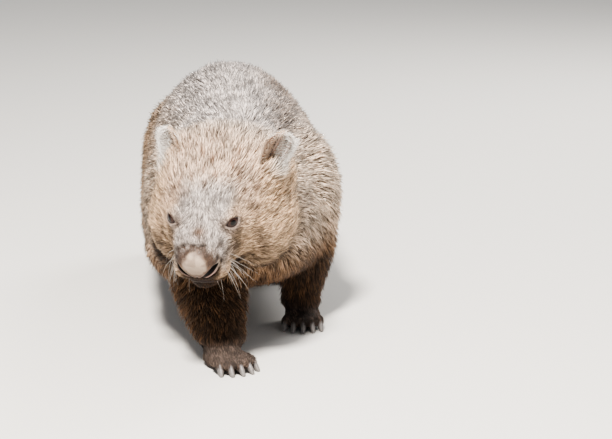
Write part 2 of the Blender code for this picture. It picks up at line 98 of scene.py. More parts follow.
EAR_BASES = {"right": np.array((-0.069, 0.164, 0.034)), "left": np.array((0.076, 0.160, 0.046))}
EAR_POSES = {"right": (2, 16, 34), "left": (24, 14, 26)}
EAR_HEIGHT = 0.056
EAR_ROOT = 0.018
EAR_BALL_SUNK = 0.009
EAR_HALF_WIDTH = 0.0205
EAR_WALLS = (0.0040, 0.0017)
EAR_HAIR = {"back": 0.0065, "cup": 0.0120, "fringe": 0.0150}
EAR_HAIR_WIDTH = 0.00055
WHISKER_RADIUS = 0.00023
WHISKER_ROWS = 4

# Feet as the solids have them, from an origin that puts the tip of the nose at NOSE_TIP: the
# sole's middle, the heading in degrees, half width, half length and number of toes
NOSE_TIP = np.array((-0.080, -0.470, 0.165))
FEET = {
    "forefoot_right": ((-0.037, -0.387), 24, 0.029, 0.040, 5),
    "forefoot_left": ((0.090, -0.176), -4, 0.028, 0.038, 5),
    "hindfoot_right": ((-0.094, 0.250), 6, 0.031, 0.054, 4),
    "hindfoot_left": ((0.095, 0.132), -6, 0.031, 0.054, 4),
}
TOE_LEVEL = 0.013
TOE_FAN = 16
CLAW_LENGTH = 0.021
CLAW_RADIUS = 0.0072
CLAW_DROOP = 0.0120
CLAW_SUNK = 0.0055
FLOOR_CLEARANCE = 0.0006

# Skin and coat: lengths and depths in metres, and shares of a colour or of a length. Of the dark
# and the pale hairs, the share of all hairs and the share of their colour
SKIN_VOXEL = 0.0035
# Share of the coat's colour that the hide takes: partly its darker underfur, partly painted shade
# deep in the coat
SKIN_UNDERCOAT_AND_SHADE = 0.34
COAT_DEPTH = {
    "body": 0.0095, "leg": 0.0040, "foot": 0.0014, "tail": 0.0010, "nose": 0.0008, "skull": 0.0062
}
HAIR_LENGTH = {"leg": 0.0160, "foot": 0.0095, "tail": 0.0100, "ear": 0.0240}
# Hair colour at root, middle and tip: dark roots partly painted shade deep in the coat
ROOT_SHADED_BANDS = (0.40, 0.90, 1.22)
# The ear's roots are paler, painted light scattered into its cup
EAR_ROOT_SHADED_BANDS = (0.75, 1.0, 1.12)
WHITE_HAIR = 0.92
ROOT_SUNK = 0.06
CLUMP_SHARE = 0.42
PIECE_TUFTS = 19000
PATCH = 0.0015
COLOUR_LAYER = "coat_colour"
PATTERN_SPAN = (0.3, 0.7)
TUFT_WIDTH = 0.00027
TUFT_SPREAD = 0.046
CLUMP_SIZES = (0.0085, 0.0050)
BARE_ROUND_EYE = 0.0132
DARK_HAIRS = (0.22, 0.40)
PALE_HAIRS = (0.22, 1.40)

# The studio: the camera as it stood to the photographed animal, and where the lights stand
LENS_MM = 127.88
SENSOR_MM = 36
CAMERA_PLACE = (-0.16553, -3.27281, 0.87283)
CAMERA_AZIMUTH = math.radians(4.7)
CAMERA_PITCH = math.radians(12.8)
FLOOR_REACH = 30.0
LIGHTS_AIM = (0.0, -0.15, 0.18)
KEY_PLACE = (-0.50, -2.0, 2.9)
RIM_PLACE = (1.6, 1.9, 2.0)


# Colours and properties

def linear(code):
    """The linear light values of an sRGB colour given as a hex code."""
    channels = [int(code[i : i + 2], 16) / 255 for i in (1, 3, 5)]
    return tuple(c / 12.92 if c <= 0.04045 else ((c + 0.055) / 1.055) ** 2.4 for c in channels)


def colour_property(name, description, code):
    return FloatVectorProperty(
        name=name, description=description, subtype="COLOR", min=0, max=1, default=linear(code)
    )


def length_property(name, description, metres):
    return FloatProperty(name=name, description=description, unit="LENGTH", default=metres)


# Number arrays

def ramp(value, low, high):
    """0 below low and 1 above high, with the smooth step t * t * (3 - 2 t) between them."""
    t = np.clip((value - low) / (high - low), 0, 1)
    return t * t * (3 - 2 * t)


def fade(value, low, high):
    """1 below low and 0 above high, the ramp turned round."""
    return 1 - ramp(value, low, high)


def hump(value, middle, width):
    """A bell curve: 1 at the middle, falling as exp(-(distance / width) squared)."""
    return np.exp(-(((value - middle) / width) ** 2))


def rounded(wave, power):
    """A cosine or sine bent so that a circle of them becomes a squarer oval."""
    return np.sign(wave) * np.abs(wave) ** (2 / power)


def unit(vectors):
    """The vectors at length one."""
    return vectors / np.maximum(np.linalg.norm(vectors, axis=-1, keepdims=True), 1e-12)


def vectors(x, y, z):
    """Arrays or numbers for x, y and z as one array of vectors."""
    return np.stack(np.broadcast_arrays(x, y, z), axis=-1)


def apart(points, place):
    """How far each point is from a place."""
    return np.linalg.norm(points - place, axis=1)


def on_ball(polar, turn):
    """Points of the unit sphere, by the angle from its pole and the turn round it."""
    return vectors(np.sin(polar) * np.cos(turn), np.sin(polar) * np.sin(turn), np.cos(polar))


def laid(ways, normals):
    """The ways laid flat on a surface with these normals, at length one."""
    return unit(ways - (ways * normals).sum(axis=1, keepdims=True) * normals)


def mix(a, b, share):
    """a where the share is 0, b where it is 1."""
    return a + (b - a) * share


def layered(base, *layers):
    """The base with the value of each (value, share) mixed in, one after the other."""
    for value, share in layers:
        base = mix(base, value, share)
    return base


def tinted(base, tones, *layers):
    """A colour with the tone of each (name, share) laid over it, one after the other."""
    for name, share in layers:
        base = mix(base, tones[name], np.clip(share, 0, 1)[..., None])
    return base


def noise(points, size, seed):
    """Smooth values from -1 to 1: a hashed number at each corner of a cubic lattice of the given
    size, blended across each cell by the smooth step along each axis."""
    at = points / size
    cell = np.floor(at).astype(np.int64)
    t = at - cell
    t = t * t * (3 - 2 * t)
    total = np.zeros(len(points))
    for corner in itertools.product((0, 1), repeat=3):
        key = (cell + corner) @ np.array((73856093, 19349663, 83492791)) + seed * 2654435761
        key = (key ^ (key >> 13)) * 1274126177
        value = ((key ^ (key >> 16)) & 0xFFFF) / 32767.5 - 1
        total += value * np.prod(np.where(corner, t, 1 - t), axis=1)
    return total


def turned(degrees, axis):
    return Matrix.Rotation(math.radians(degrees), 3, axis)


HEAD_TURN = np.array(turned(HEAD_YAW, "Z") @ turned(HEAD_PITCH, "X") @ turned(HEAD_ROLL, "Y"))
EYES_MIDDLE = np.mean([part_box(f"eye_{name}") for name in SIDES], axis=(0, 1))
HEAD_PLACE = EYES_MIDDLE - HEAD_TURN @ (EYE_CENTRE * (0, 1, 1))


def to_head(points):
    return (points - HEAD_PLACE) @ HEAD_TURN


def from_head(points):
    return points @ HEAD_TURN.T + HEAD_PLACE


# Meshes

def mesh_object(name, points, faces):
    """A smooth mesh object at the origin, from arrays of points and of triangles or quads."""
    mesh = bpy.data.meshes.new(name)
    sides = faces.shape[1]
    mesh.vertices.add(len(points))
    mesh.vertices.foreach_set("co", points.astype(np.float32).ravel())
    mesh.loops.add(faces.size)
    mesh.loops.foreach_set("vertex_index", faces.astype(np.int32).ravel())
    mesh.polygons.add(len(faces))
    mesh.polygons.foreach_set("loop_start", np.arange(0, faces.size, sides, dtype=np.int32))
    mesh.update(calc_edges=True)
    mesh.shade_smooth()
    obj = bpy.data.objects.new(name, mesh)
    bpy.context.scene.collection.objects.link(obj)
    return obj


def arrays(mesh):
    """Points, vertex normals and triangles of a mesh, as arrays."""
    mesh.calc_loop_triangles()
    points = np.empty(len(mesh.vertices) * 3, np.float32)
    normals = np.empty(len(mesh.vertices) * 3, np.float32)
    triangles = np.empty(len(mesh.loop_triangles) * 3, np.int32)
    mesh.vertices.foreach_get("co", points)
    mesh.vertices.foreach_get("normal", normals)
    mesh.loop_triangles.foreach_get("vertices", triangles)
    return (
        points.reshape(-1, 3).astype(float),
        normals.reshape(-1, 3).astype(float),
        triangles.reshape(-1, 3),
    )


def move_points(obj, points):
    obj.data.vertices.foreach_set("co", points.astype(np.float32).ravel())
    obj.data.update()


def modified(obj, *modifiers):
    """Gives the object the mesh that modifiers make, each of them a kind and its settings."""
    for kind, settings in modifiers:
        modifier = obj.modifiers.new(kind.lower(), kind)
        for name, value in settings.items():
            setattr(modifier, name, value)
    graph = bpy.context.evaluated_depsgraph_get()
    mesh = bpy.data.meshes.new_from_object(obj.evaluated_get(graph))
    obj.modifiers.clear()
    obj.data = mesh


def circle(count):
    return np.linspace(0, 2 * math.pi, count, endpoint=False)


def tubes(name, rings, ring=False):
    """One mesh of closed tubes from an array of (tube, ring, point round it, coordinate).

    Each tube's ends are drawn to the middle of the end ring or, for a ring, its last ring of points
    is joined to its first. A tube whose signed volume is negative has its faces turned round."""
    count, rows, around, _ = rings.shape
    points = rings.reshape(count, -1, 3)
    index = np.arange(rows * around).reshape(rows, around)
    if ring:
        index = np.vstack([index, index[:1]])
    after = np.roll(index, -1, axis=1)
    corners = (index[:-1], after[:-1], after[1:], index[:-1], after[1:], index[1:])
    faces = np.stack(corners, axis=-1).reshape(-1, 3)
    if not ring:
        points = np.concatenate([points, rings[:, [0, -1]].mean(axis=2)], axis=1)
        first = np.full(around, rows * around)
        caps = [np.stack([first, after[0], index[0]], axis=-1)]
        caps += [np.stack([first + 1, index[-1], after[-1]], axis=-1)]
        faces = np.vstack([faces, *caps])
    corner = points[:, faces]
    volume = (corner[:, :, 0] * np.cross(corner[:, :, 1], corner[:, :, 2])).sum(axis=(1, 2))
    whole = np.tile(faces, (count, 1, 1))
    whole[volume < 0] = whole[volume < 0][:, :, ::-1]
    whole += np.arange(count)[:, None, None] * points.shape[1]
    return mesh_object(name, points.reshape(-1, 3), whole.reshape(-1, 3))


def with_ends(grid):
    """Values for the points of one closed tube: those of its rings, then those of its two ends."""
    return np.concatenate([grid.reshape(-1, *grid.shape[2:]), grid[[0, -1]].mean(axis=1)])


def paint(obj, values):
    """Stores a colour for each point of the mesh."""
    rgba = np.ones((len(values), 4), np.float32)
    rgba[:, :3] = values
    layer = obj.data.color_attributes.new(COLOUR_LAYER, "FLOAT_COLOR", "POINT")
    layer.data.foreach_set("color", rgba.ravel())


def dress(obj, material, slot, *nodes):
    """Gives a piece its material, and says what it rides on and replaces. The slot is not used."""
    obj.data.materials.clear()
    obj.data.materials.append(material)
    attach(obj, "root")
    if nodes:
        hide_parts(*nodes)
    return obj


# Materials

def add_node(material, kind, settings=None, links=None):
    """Adds one node, sets its properties and sockets by name, and links sockets from others."""
    node = material.node_tree.nodes.new(kind)
    for name, value in (settings or {}).items():
        if name in node.inputs:
            node.inputs[name].default_value = value
        else:
            setattr(node, name, value)
    for name, source in (links or {}).items():
        material.node_tree.links.new(source, node.inputs[name])
    return node


def new_material(name, **settings):
    """A material with its Principled shader, whose sockets are set by name."""
    made = bpy.data.materials.new(name)
    made.use_nodes = True
    shader = made.node_tree.nodes["Principled BSDF"]
    for socket, value in settings.items():
        shader.inputs[socket.replace("_", " ")].default_value = value
    return made, shader


def patterned(name, shade, shares, relief=0, grain=None, **settings):
    """A material of the stored colour times a pattern, bumped by that pattern or by a grain.

    Shade and grain each name a texture on Object coordinates, the millimetres across one of its
    features and its detail. The shades are stretched to run over the two shares of the colour, and
    the bumps are at most relief millimetres high."""
    made, shader = new_material(name, **settings)
    where = add_node(made, "ShaderNodeTexCoord").outputs["Object"]
    heights = []
    for kind, millimetres, detail in filter(None, (shade, grain)):
        size = {"Scale": 1000 / millimetres, "Detail": detail}
        heights.append(add_node(made, f"ShaderNodeTex{kind}", size, {"Vector": where}).outputs[0])
    stored = add_node(made, "ShaderNodeVertexColor", {"layer_name": COLOUR_LAYER})
    low, high = PATTERN_SPAN
    spread = {"From Min": low, "From Max": high, "To Min": shares[0], "To Max": shares[1]}
    share = add_node(made, "ShaderNodeMapRange", spread, {"Value": heights[0]})
    factors = {0: stored.outputs["Color"], "Scale": share.outputs["Result"]}
    colour = add_node(made, "ShaderNodeVectorMath", {"operation": "SCALE"}, factors)
    made.node_tree.links.new(colour.outputs["Vector"], shader.inputs["Base Color"])
    if relief:
        height = {"Distance": relief / 1000}
        bump = add_node(made, "ShaderNodeBump", height, {"Height": heights[-1]})
        made.node_tree.links.new(bump.outputs["Normal"], shader.inputs["Normal"])
    return made


# The hair's dark roots are partly painted shade deep in the coat
def hair_material():
    """Keratin guard hair, dry and dusty: matt, dark at the root and pale at the tip."""
    speckle = ("Noise", 1.6, 2.0)
    return patterned("guard_hair_keratin", speckle, (0.86, 1.14), Roughness=0.65, IOR=1.38)


def hide_material():
    """Hide under the coat, with the down that grows on it: dull, mottled, finely wrinkled."""
    mottle, wrinkle = ("Noise", 3.0, 4.0), ("Noise", 1.4, 3.0)
    return patterned("hide_with_down", mottle, (0.75, 1.2), 0.5, wrinkle, Roughness=0.8, IOR=1.45)


def nose_material():
    """Rhinarium: bare, velvety skin in fine pebbles under a millimetre across, slightly damp."""
    damp = {"Roughness": 0.52, "IOR": 1.42, "Sheen_Weight": 0.15}
    return patterned("bare_nose_skin", ("Voronoi", 0.9, 0.0), (1.08, 0.84), 0.25, **damp)


def bare_skin_material():
    """Bare skin of lips, lids and ears: soft, a little greasy, creased every millimetre or so."""
    crease = ("Noise", 1.1, 4.0)
    return patterned("bare_soft_skin", crease, (0.82, 1.15), 0.3, Roughness=0.48, IOR=1.42)


def horn_material():
    """Claw horn, scraped by digging: mottled growth lines, pale worn tips, a dull polish."""
    growth = ("Noise", 2.2, 6.0)
    return patterned("scraped_claw_horn", growth, (0.7, 1.2), 0.4, Roughness=0.42, IOR=1.54)


def eye_material():
    """Cornea over a brown iris: wet, so that its highlight is small and sharp."""
    fibre = ("Noise", 1.2, 3.0)
    return patterned("wet_eye", fibre, (0.7, 1.3), Roughness=0.05, IOR=1.36)


# The coat as fields over the body

def eye_axes(side):
    """Centre of an eye in the head's frame, and its axes as columns: along the slit, up, out."""
    turn = np.array((side, 1, 1))
    look = Vector(EYE_OUTWARD * turn).to_track_quat("Z", "Y").to_matrix()
    return EYE_CENTRE * turn, np.array(look @ turned(side * LID_SLANT, "Z"))


def eye_places():
    """Centre and outward direction of each eye, in the head's frame."""
    for side in SIDES.values():
        centre, axes = eye_axes(side)
        yield centre, axes[:, 2]


def on_pad(q):
    """How far out on the nose pad a point of the head's frame lies: 1 at its widest oval."""
    return np.hypot(q[:, 0] / NOSE_HALF_WIDTH, (q[:, 2] - NOSE_MIDDLE) / NOSE_HALF_HEIGHT)


def on_dome(q):
    """How far out from the middle of the nose pad's bare dome a point lies: 1 at its edge."""
    return np.hypot(q[..., 0] / DOME_RADIUS, (q[..., 2] - DOME_MIDDLE) / DOME_RADIUS)


def masks(points, normals):
    """Where each part of the animal is, each a share from 0 to 1 for every point."""
    q = to_head(points)
    x, y, z = points.T
    wide = np.abs(q[:, 0])
    head = fade(q[:, 1], 0.185, 0.255)
    head *= 1 - ramp(-q[:, 2], 0.095, 0.125)
    foot = fade(z, 0.026, 0.046)
    leg = fade(z, 0.085, 0.150) * (1 - head)
    eye = np.min([apart(q, centre) for centre, _ in eye_places()], axis=0)
    ear = np.min([apart(q, base) for base in EAR_BASES.values()], axis=0)
    return {
        "q": q,
        "wide": wide,
        "head": head,
        "foot": foot,
        "leg": leg,
        "muzzle": head * fade(q[:, 1], 0.055, 0.100),
        "rim": 1 - ramp(q[:, 1], 0.028, 0.040) * ramp(eye, 0.016, 0.024),
        "eye": eye,
        "ear": ear,
        "tail": ramp(y, 0.400, 0.418),
        "flank": ramp(np.abs(x), 0.085, 0.145) * ramp(z, 0.12, 0.20) * (1 - head),
        "under": fade(z, 0.10, 0.19) * (1 - head),
        "down": ramp(-normals[:, 2], -0.25, 0.55),
        "front": fade(y, -0.16, 0.04),
    }


def body_layers(points, m, patch):
    """Tone and share of each marking and painted shade behind the head, laid first to last."""
    x, y, z = points.T
    high = ramp(z + 0.02 * patch, 0.225, 0.315)
    # Browner on the back's left side only, behind the left ear
    saddle = ramp(x, 0.005, 0.070) * fade(y, 0.10, 0.36)
    yield "back", high
    yield "saddle", 0.90 * saddle * high * (0.85 + 0.4 * patch)
    # The pale tan front, made paler as painted light
    yield "shoulder", 0.95 * m["front"] * (1 - high) * ramp(z, 0.11, 0.17)
    # The brown underside, with painted shade low on the body and on faces turned down
    yield "belly", m["under"] * ramp(0.16 - z, -0.03, 0.05)
    yield "belly", 0.8 * m["down"] * (1 - m["head"])
    # The legs' brown, partly painted shade under the body and head
    yield "leg", m["leg"]
    yield "foot", m["foot"]


def face_layers(points, m, patch):
    """Tone and share of each marking and painted shade of the head, laid first to last."""
    q, wide = m["q"], m["wide"]
    across, back, up = q.T
    top = ramp(up + 0.012 * patch, -0.022, 0.022) * fade(wide, 0.045, 0.080)
    yield "forehead", top * ramp(back, 0.06, 0.11)
    yield "crown", ramp(back + 0.02 * patch, 0.150, 0.205) * ramp(up, 0.0, 0.05)
    bridge = fade(back + 0.008 * patch, 0.085, 0.125) * fade(wide, 0.030, 0.046)
    yield "bridge", bridge * ramp(up, -0.030, -0.005)
    streak = ramp(noise(points * (1, 1, 0.45), 0.0075, 5) + 0.6 * patch, 0.00, 0.55)
    yield "brow_fleck", 0.85 * streak * top * hump(back, 0.135, 0.052)
    # Painted shade in the fold at the back of the cheek
    fold = hump(back, 0.081, 0.006) * ramp(wide, 0.052, 0.064) * hump(up, -0.022, 0.026)
    yield "shadow_line", 0.7 * fold
    # Painted shade under the head and the chin, over their brown fur, weaker on the sides behind
    # the cheeks
    side_of_neck = ramp(back, 0.120, 0.200) * ramp(wide, 0.045, 0.080)
    yield "throat", ramp(-up, 0.050, 0.085) * (1 - 0.75 * side_of_neck)
    yield "throat", ramp(-up, 0.027, 0.036) * m["muzzle"]
    for side in (-1, 1):
        ring = apart(q, (EYE_CENTRE + EYE_OUTWARD * 0.012) * (side, 1, 1))
        low = fade(up - EYE_CENTRE[2], -0.004, 0.010)
        yield "eye_ring", mix(0.25, 0.85, low) * hump(ring, 0.012, 0.008)
        # Painted shade at the inner corner of the eye
        corner = apart(q, (EYE_CENTRE + INNER_CORNER_SHADE) * (side, 1, 1))
        yield "shadow_line", 0.85 * hump(corner, 0, 0.0065)
        # Painted shade along the side of the muzzle
        muzzle_side_shade = hump(across * side, 0.043, 0.007) * hump(back, 0.050, 0.022)
        yield "shadow_line", 0.70 * muzzle_side_shade * hump(up, -0.005, 0.024)
    # Painted shade under the nose pad, over the mouth
    shade_under_pad = ramp(-up, 0.024, 0.031) * fade(wide, 0.014, 0.028) * m["muzzle"]
    yield "throat", 0.9 * shade_under_pad
    for base in EAR_BASES.values():
        below = base + (0.013 * np.sign(base[0]), -0.006, -0.004)
        yield "ear_white", 0.85 * hump(apart(q, below), 0, 0.015)
    tuft_patch = hump(across, 0.001, 0.010) * hump(back, 0.034, 0.008)
    yield "brow_fleck", 0.85 * tuft_patch * ramp(up, 0.005, 0.02)
    reach = on_pad(q) + 0.25 * noise(points, 0.007, 6)
    pad_rim = ramp(on_dome(q), 0.80, 1.05) * fade(reach, 0.95, 1.50)
    yield "pad_hair", 0.90 * pad_rim * fade(back, 0.030, 0.044)


def markings_and_shade(points, normals, tones):
    """The colour of the coat at each point, painted shade included, the same for hide and hair."""
    m = masks(points, normals)
    _, back, up = m["q"].T
    patch = noise(points, 0.045, 3) * 0.6 + noise(points, 0.018, 4) * 0.4
    body = tinted(tones["flank"], tones, *body_layers(points, m, patch))
    face = tinted(tones["cheek"], tones, *face_layers(points, m, patch))
    # Painted shade in the gap behind each cheek
    neck_gap_shade = ramp(back, 0.155, 0.200) * fade(back, 0.250, 0.310) * ramp(m["wide"], 0.058, 0.080)
    shade = 0.38 * neck_gap_shade * ramp(-up, -0.02, 0.04)
    return tinted(mix(body, face, m["head"][:, None]), tones, ("throat", shade))


def coat_depth(points, normals):
    """How far the hide lies under the outside of the coat."""
    m = masks(points, normals)
    face = mix(COAT_DEPTH["nose"], COAT_DEPTH["skull"], ramp(m["q"][:, 1], 0.012, 0.190))
    parts = [(COAT_DEPTH[part], m[part]) for part in ("leg", "foot", "tail")]
    return layered(COAT_DEPTH["body"], *parts, (face, m["head"]))


def hair_lie(points, normals):
    """Which way the hair lies, a unit vector along the surface at each point.

    On the head it runs away from a point ahead of the nose and parts round the eyes; along the
    trunk it runs back and down; on the legs it runs down, and on the feet forward."""
    m = masks(points, normals)
    q = m["q"]
    away = q - np.array((0.0, -0.030, -0.020))
    away[:, 2] *= 0.9
    head = unit(away)
    for centre, outward in eye_places():
        across = q - centre
        across -= (across @ outward)[:, None] * outward
        head += 2.0 * hump(apart(q, centre), 0, 0.024)[:, None] * unit(across)
    head = unit(head) @ HEAD_TURN.T
    x, y, z = points.T
    spread = 0.25 * np.sign(x) * fade(y, -0.30, 0.05)
    fall = -0.30 - 0.9 * ramp(normals[:, 1], 0.2, 0.9) - 0.35 * m["flank"]
    fall -= 1.1 * m["front"] * fade(z, 0.13, 0.22)
    leg, foot = np.array((0, 0.20, -1)), np.array((0, -1, -0.35))
    flow = layered(
        unit(vectors(spread, 1.0, fall)), (leg, m["leg"][:, None]), (foot, m["foot"][:, None])
    )
    return laid(mix(unit(flow), head, m["head"][:, None]), normals)


# Tufts

def scatter(points, triangles, spacing, rng):
    """Roots spread evenly over triangles, about one for each square of the local spacing.

    Each triangle expects its area over the spacing squared, the expectations are summed along the
    mesh, and a root falls wherever the sum passes a whole number, at random barycentric weights."""
    corners = points[triangles]
    first, second, third = np.moveaxis(corners, 1, 0)
    area = np.linalg.norm(np.cross(second - first, third - first), axis=1) / 2
    wanted = area / spacing[triangles].mean(axis=1) ** 2
    steps = np.floor(np.cumsum(wanted) + rng.random())
    owner = np.repeat(np.arange(len(triangles)), np.diff(steps, prepend=0).astype(int))
    a, b = rng.random((2, len(owner)))
    a, b = np.where(a + b > 1, (1 - a, 1 - b), (a, b))
    weights = np.stack([1 - a - b, a, b], axis=1)
    return owner, weights


def carried(values, triangles, owner, weights):
    """Values at the mesh's points, interpolated at the roots."""
    weights = weights.reshape(*weights.shape, *[1] * (values.ndim - 1))
    return (values[triangles[owner]] * weights).sum(axis=1)


def tuft_mesh(name, strands, place):
    """Closed tapered spikes of three sides, one for each root.

    A spike's axis is root + L (s (cos lift * lie + sin lift * normal) - bow s^2 normal + sway s^2
    side), with rings at s = 0 and 0.5 and a point at s = 1; a ring is a flattened triangle. Its
    patch of the unwrap is a small square round its root's place."""
    normals, lie, length = strands["normals"], strands["lie"], strands["length"][:, None]
    count = len(lie)
    side = np.cross(normals, lie)
    lift = strands["lift"][:, None]
    along = lie * np.cos(lift) + normals * np.sin(lift)
    over = np.cross(side, along)
    bend = side * strands["sway"][:, None] - normals * strands["bow"][:, None]
    start = strands["roots"] - ROOT_SUNK * length * along

    def axis(s):
        return start + length * (s * along + s * s * bend)

    points = np.empty((count, 7, 3))
    for ring, (s, share) in enumerate(((0.0, 0.75), (0.5, 1.0))):
        for k, angle in enumerate(np.radians((90, 210, 330))):
            across = math.cos(angle) * side + 0.6 * math.sin(angle) * over
            points[:, 3 * ring + k] = axis(s) + 0.5 * share * strands["width"][:, None] * across
    points[:, 6] = axis(1.0)
    points[:, :, 2] = np.maximum(points[:, :, 2], FLOOR_CLEARANCE)
    one = [(0, 2, 1)]
    for k in range(3):
        after = (k + 1) % 3
        one += [(k, after, 3 + after), (k, 3 + after, 3 + k), (3 + k, 3 + after, 6)]
    faces = (np.arange(count)[:, None, None] * 7 + np.array(one)[None]).reshape(-1, 3)
    obj = mesh_object(name, points.reshape(-1, 3), faces)
    colours = np.repeat(strands["colours"], (3, 3, 1), axis=1)
    paint(obj, colours.reshape(-1, 3))
    spread = np.array(((0, -1), (-1, -0.8), (1, -0.8), (0, 0), (-1, 0), (1, 0), (0, 1)))
    patch = (place[:, None] + PATCH * spread[None]).reshape(-1, 2)
    layer = obj.data.uv_layers.new(name="OFBake")
    layer.data.foreach_set("uv", patch[faces.ravel()].astype(np.float32).ravel())
    return obj


def clumps(roots, small):
    """The number of each root's clump: a cell with wavering walls, smaller where small is true."""
    size = mix(*CLUMP_SIZES, small)[:, None]
    wobble = np.stack([noise(roots, 0.011, 40 + i) for i in range(3)], axis=1)
    cell = np.floor(roots / size + 0.6 * wobble).astype(np.int64)
    _, clump = np.unique(np.column_stack([cell, small]), axis=0, return_inverse=True)
    return clump.ravel()


def gathered(tips, clump, share):
    """Tips drawn towards the middle of the tips of their clump."""
    total = np.bincount(clump)
    middle = np.stack([np.bincount(clump, tips[:, i]) / total for i in range(3)], axis=1)
    return tips + share * (middle[clump] - tips)


def banded(tone, shares):
    """Colours of a hair's root, middle and tip, of one hue and never brighter than white hair."""
    bands = np.stack([share * tone for share in shares], axis=1)
    return bands * np.minimum(1, WHITE_HAIR / bands.max(axis=2, keepdims=True))


# Sizes and colours that a user would change

class WombatCoat(bpy.types.PropertyGroup):
    seed: IntProperty(name="Seed", description="Start of the random draws", default=7)
    body_length: length_property("Body hair", "Length of the hair on the body", 0.024)
    face_length: length_property("Face hair", "Length of the hair on the cheeks", 0.0165)
    body_spacing: length_property("Body spacing", "Distance between tufts on the body", 0.00255)
    face_spacing: length_property("Face spacing", "Distance between tufts on the face", 0.0017)
    back: colour_property("Back", "Silvery back", "#D0C5BE")
    saddle: colour_property("Saddle", "Browner patch behind the left ear", "#85705F")
    flank: colour_property("Flank", "Grey-brown flank", "#BA9E83")
    # Pale tan fur, made paler still as painted light
    shoulder: colour_property("Shoulder", "Pale tan shoulder", "#F8E2CC")
    # Brown underside fur, laid darker along the lower body and on faces turned down as painted
    # shade
    belly: colour_property("Belly", "Brown underside", "#8F7055")
    # Brown legs, darkened partly as painted shade under the body
    leg: colour_property("Leg", "Brown legs", "#5F4631")
    foot: colour_property("Foot", "Dark grey-brown feet", "#66574E")
    cheek: colour_property("Cheek", "Golden tan cheeks", "#E4C4A2")
    forehead: colour_property("Forehead", "Mottled tan forehead", "#E2C7B0")
    crown: colour_property("Crown", "Grey-tan crown", "#D6C0AC")
    bridge: colour_property("Bridge", "Silver muzzle", "#D6CAC2")
    # Brown fur under the head, also laid as painted shade under the chin, under the nose pad and in
    # the gap behind each cheek
    throat: colour_property("Throat", "Brown throat", "#3A2719")
    eye_ring: colour_property("Eye ring", "Pale skin round the eye", "#D0BBAD")
    # Painted shade along the sides of the muzzle, in the fold of each cheek and at the inner
    # corners of the eyes
    shadow_line: colour_property("Muzzle line", "Dark line at the side of the muzzle", "#3E302A")
    brow_fleck: colour_property("Flecks", "Brown flecks on the muzzle", "#7C5C45")
    pad_hair: colour_property("Pad hair", "Dark brown down round the nose's bare dome", "#38261A")
    ear_white: colour_property("Ear fringe", "White hair of the ear", "#FCF7F1")


class WombatFace(bpy.types.PropertyGroup):
    nose: colour_property("Nose", "Pale tan nose pad", "#AC9987")
    # Darker rim of the nose pad, also laid as painted shade towards the pad's bottom
    nose_edge: colour_property("Nose edge", "Darker rim of the nose pad", "#4B3323")
    lobe: colour_property("Lobes", "Pinkish lobes under the nostrils", "#8A6C62")
    # Near black: the nostrils' dark lining, with painted shade in their depth
    nostril: colour_property("Nostril", "Inside of the nostrils", "#0C0706")
    lip: colour_property("Lip", "Dark lips", "#2A1C18")
    lid: colour_property("Lid", "Bare dark edge of the lids", "#3A2A26")
    iris: colour_property("Iris", "Brown iris", "#32201A")
    pupil: colour_property("Pupil", "Black pupil", "#060404")
    ear_skin: colour_property("Ear skin", "Pinkish skin inside the ear", "#CDB0A0")
    claw: colour_property("Claw", "Horn near the root", "#504B4B")
    claw_tip: colour_property("Claw tip", "Worn horn at the tip", "#77726F")
    whisker: colour_property("Whisker", "Pale whiskers", "#D0C8C0")
    whisker_length: length_property("Whiskers", "Length of the longest whiskers", 0.075)


class WombatStage(bpy.types.PropertyGroup):
    floor: colour_property("Floor", "Pale floor", "#D8D5D0")
    key: FloatProperty(
        name="Key light", description="Power of the key light", default=350, unit="POWER"
    )
    fill: FloatProperty(name="Sky", description="Strength of the light all round", default=0.45)


def tones_of(scene):
    """The colours of the coat and of the face, by name."""
    return {
        name: np.array(getattr(group, name))
        for group in (scene.wombat_coat, scene.wombat_face)
        for name, kind in group.bl_rna.properties.items()
        if kind.type == "FLOAT" and kind.is_array
    }


# Pieces

def welded_flesh():
    """Points and triangles of the flesh solids, with each solid's loose triangles merged."""
    points, faces, first = [], [], 0
    for name in FLESH:
        own, _, triangles = arrays(NODES[name].data)
        _, keep, index = np.unique(
            np.round(own / 1e-6).astype(np.int64), axis=0, return_index=True, return_inverse=True
        )
        points.append(own[keep])
        faces.append(index.ravel()[triangles] + first)
        first += len(keep)
    faces = np.vstack(faces)
    return np.vstack(points), faces[(faces != np.roll(faces, 1, axis=1)).all(axis=1)]


def clear_eyes(points):
    """The points, drawn into each eyeball where they cover it, by a slope that starts past it."""
    q = to_head(points)
    for centre, outward in eye_places():
        away = q - centre
        reach = np.maximum(np.linalg.norm(away, axis=1), 1e-9)
        sunk = mix(EYE_HOLLOW, reach, ramp(reach, 0.0112, 0.0150))
        ahead = ramp((away @ outward) / reach, 0.10, 0.35)
        q += away * (ahead * (np.minimum(sunk, reach) / reach - 1))[:, None]
    return from_head(q)


def under_ears():
    """Points and triangles of two balls that fill the hollows in the flesh under the ears."""
    polar = np.linspace(0.1, math.pi - 0.1, 16)[:, None]
    turn = circle(24)[None]
    ball = EAR_ROOT * on_ball(polar, turn) - (0, 0, EAR_BALL_SUNK)
    rings = np.stack([from_head(base + ball) for base in EAR_BASES.values()])
    balls = tubes("under_ears", rings)
    points, _, triangles = arrays(balls.data)
    bpy.data.objects.remove(balls)
    return points, triangles


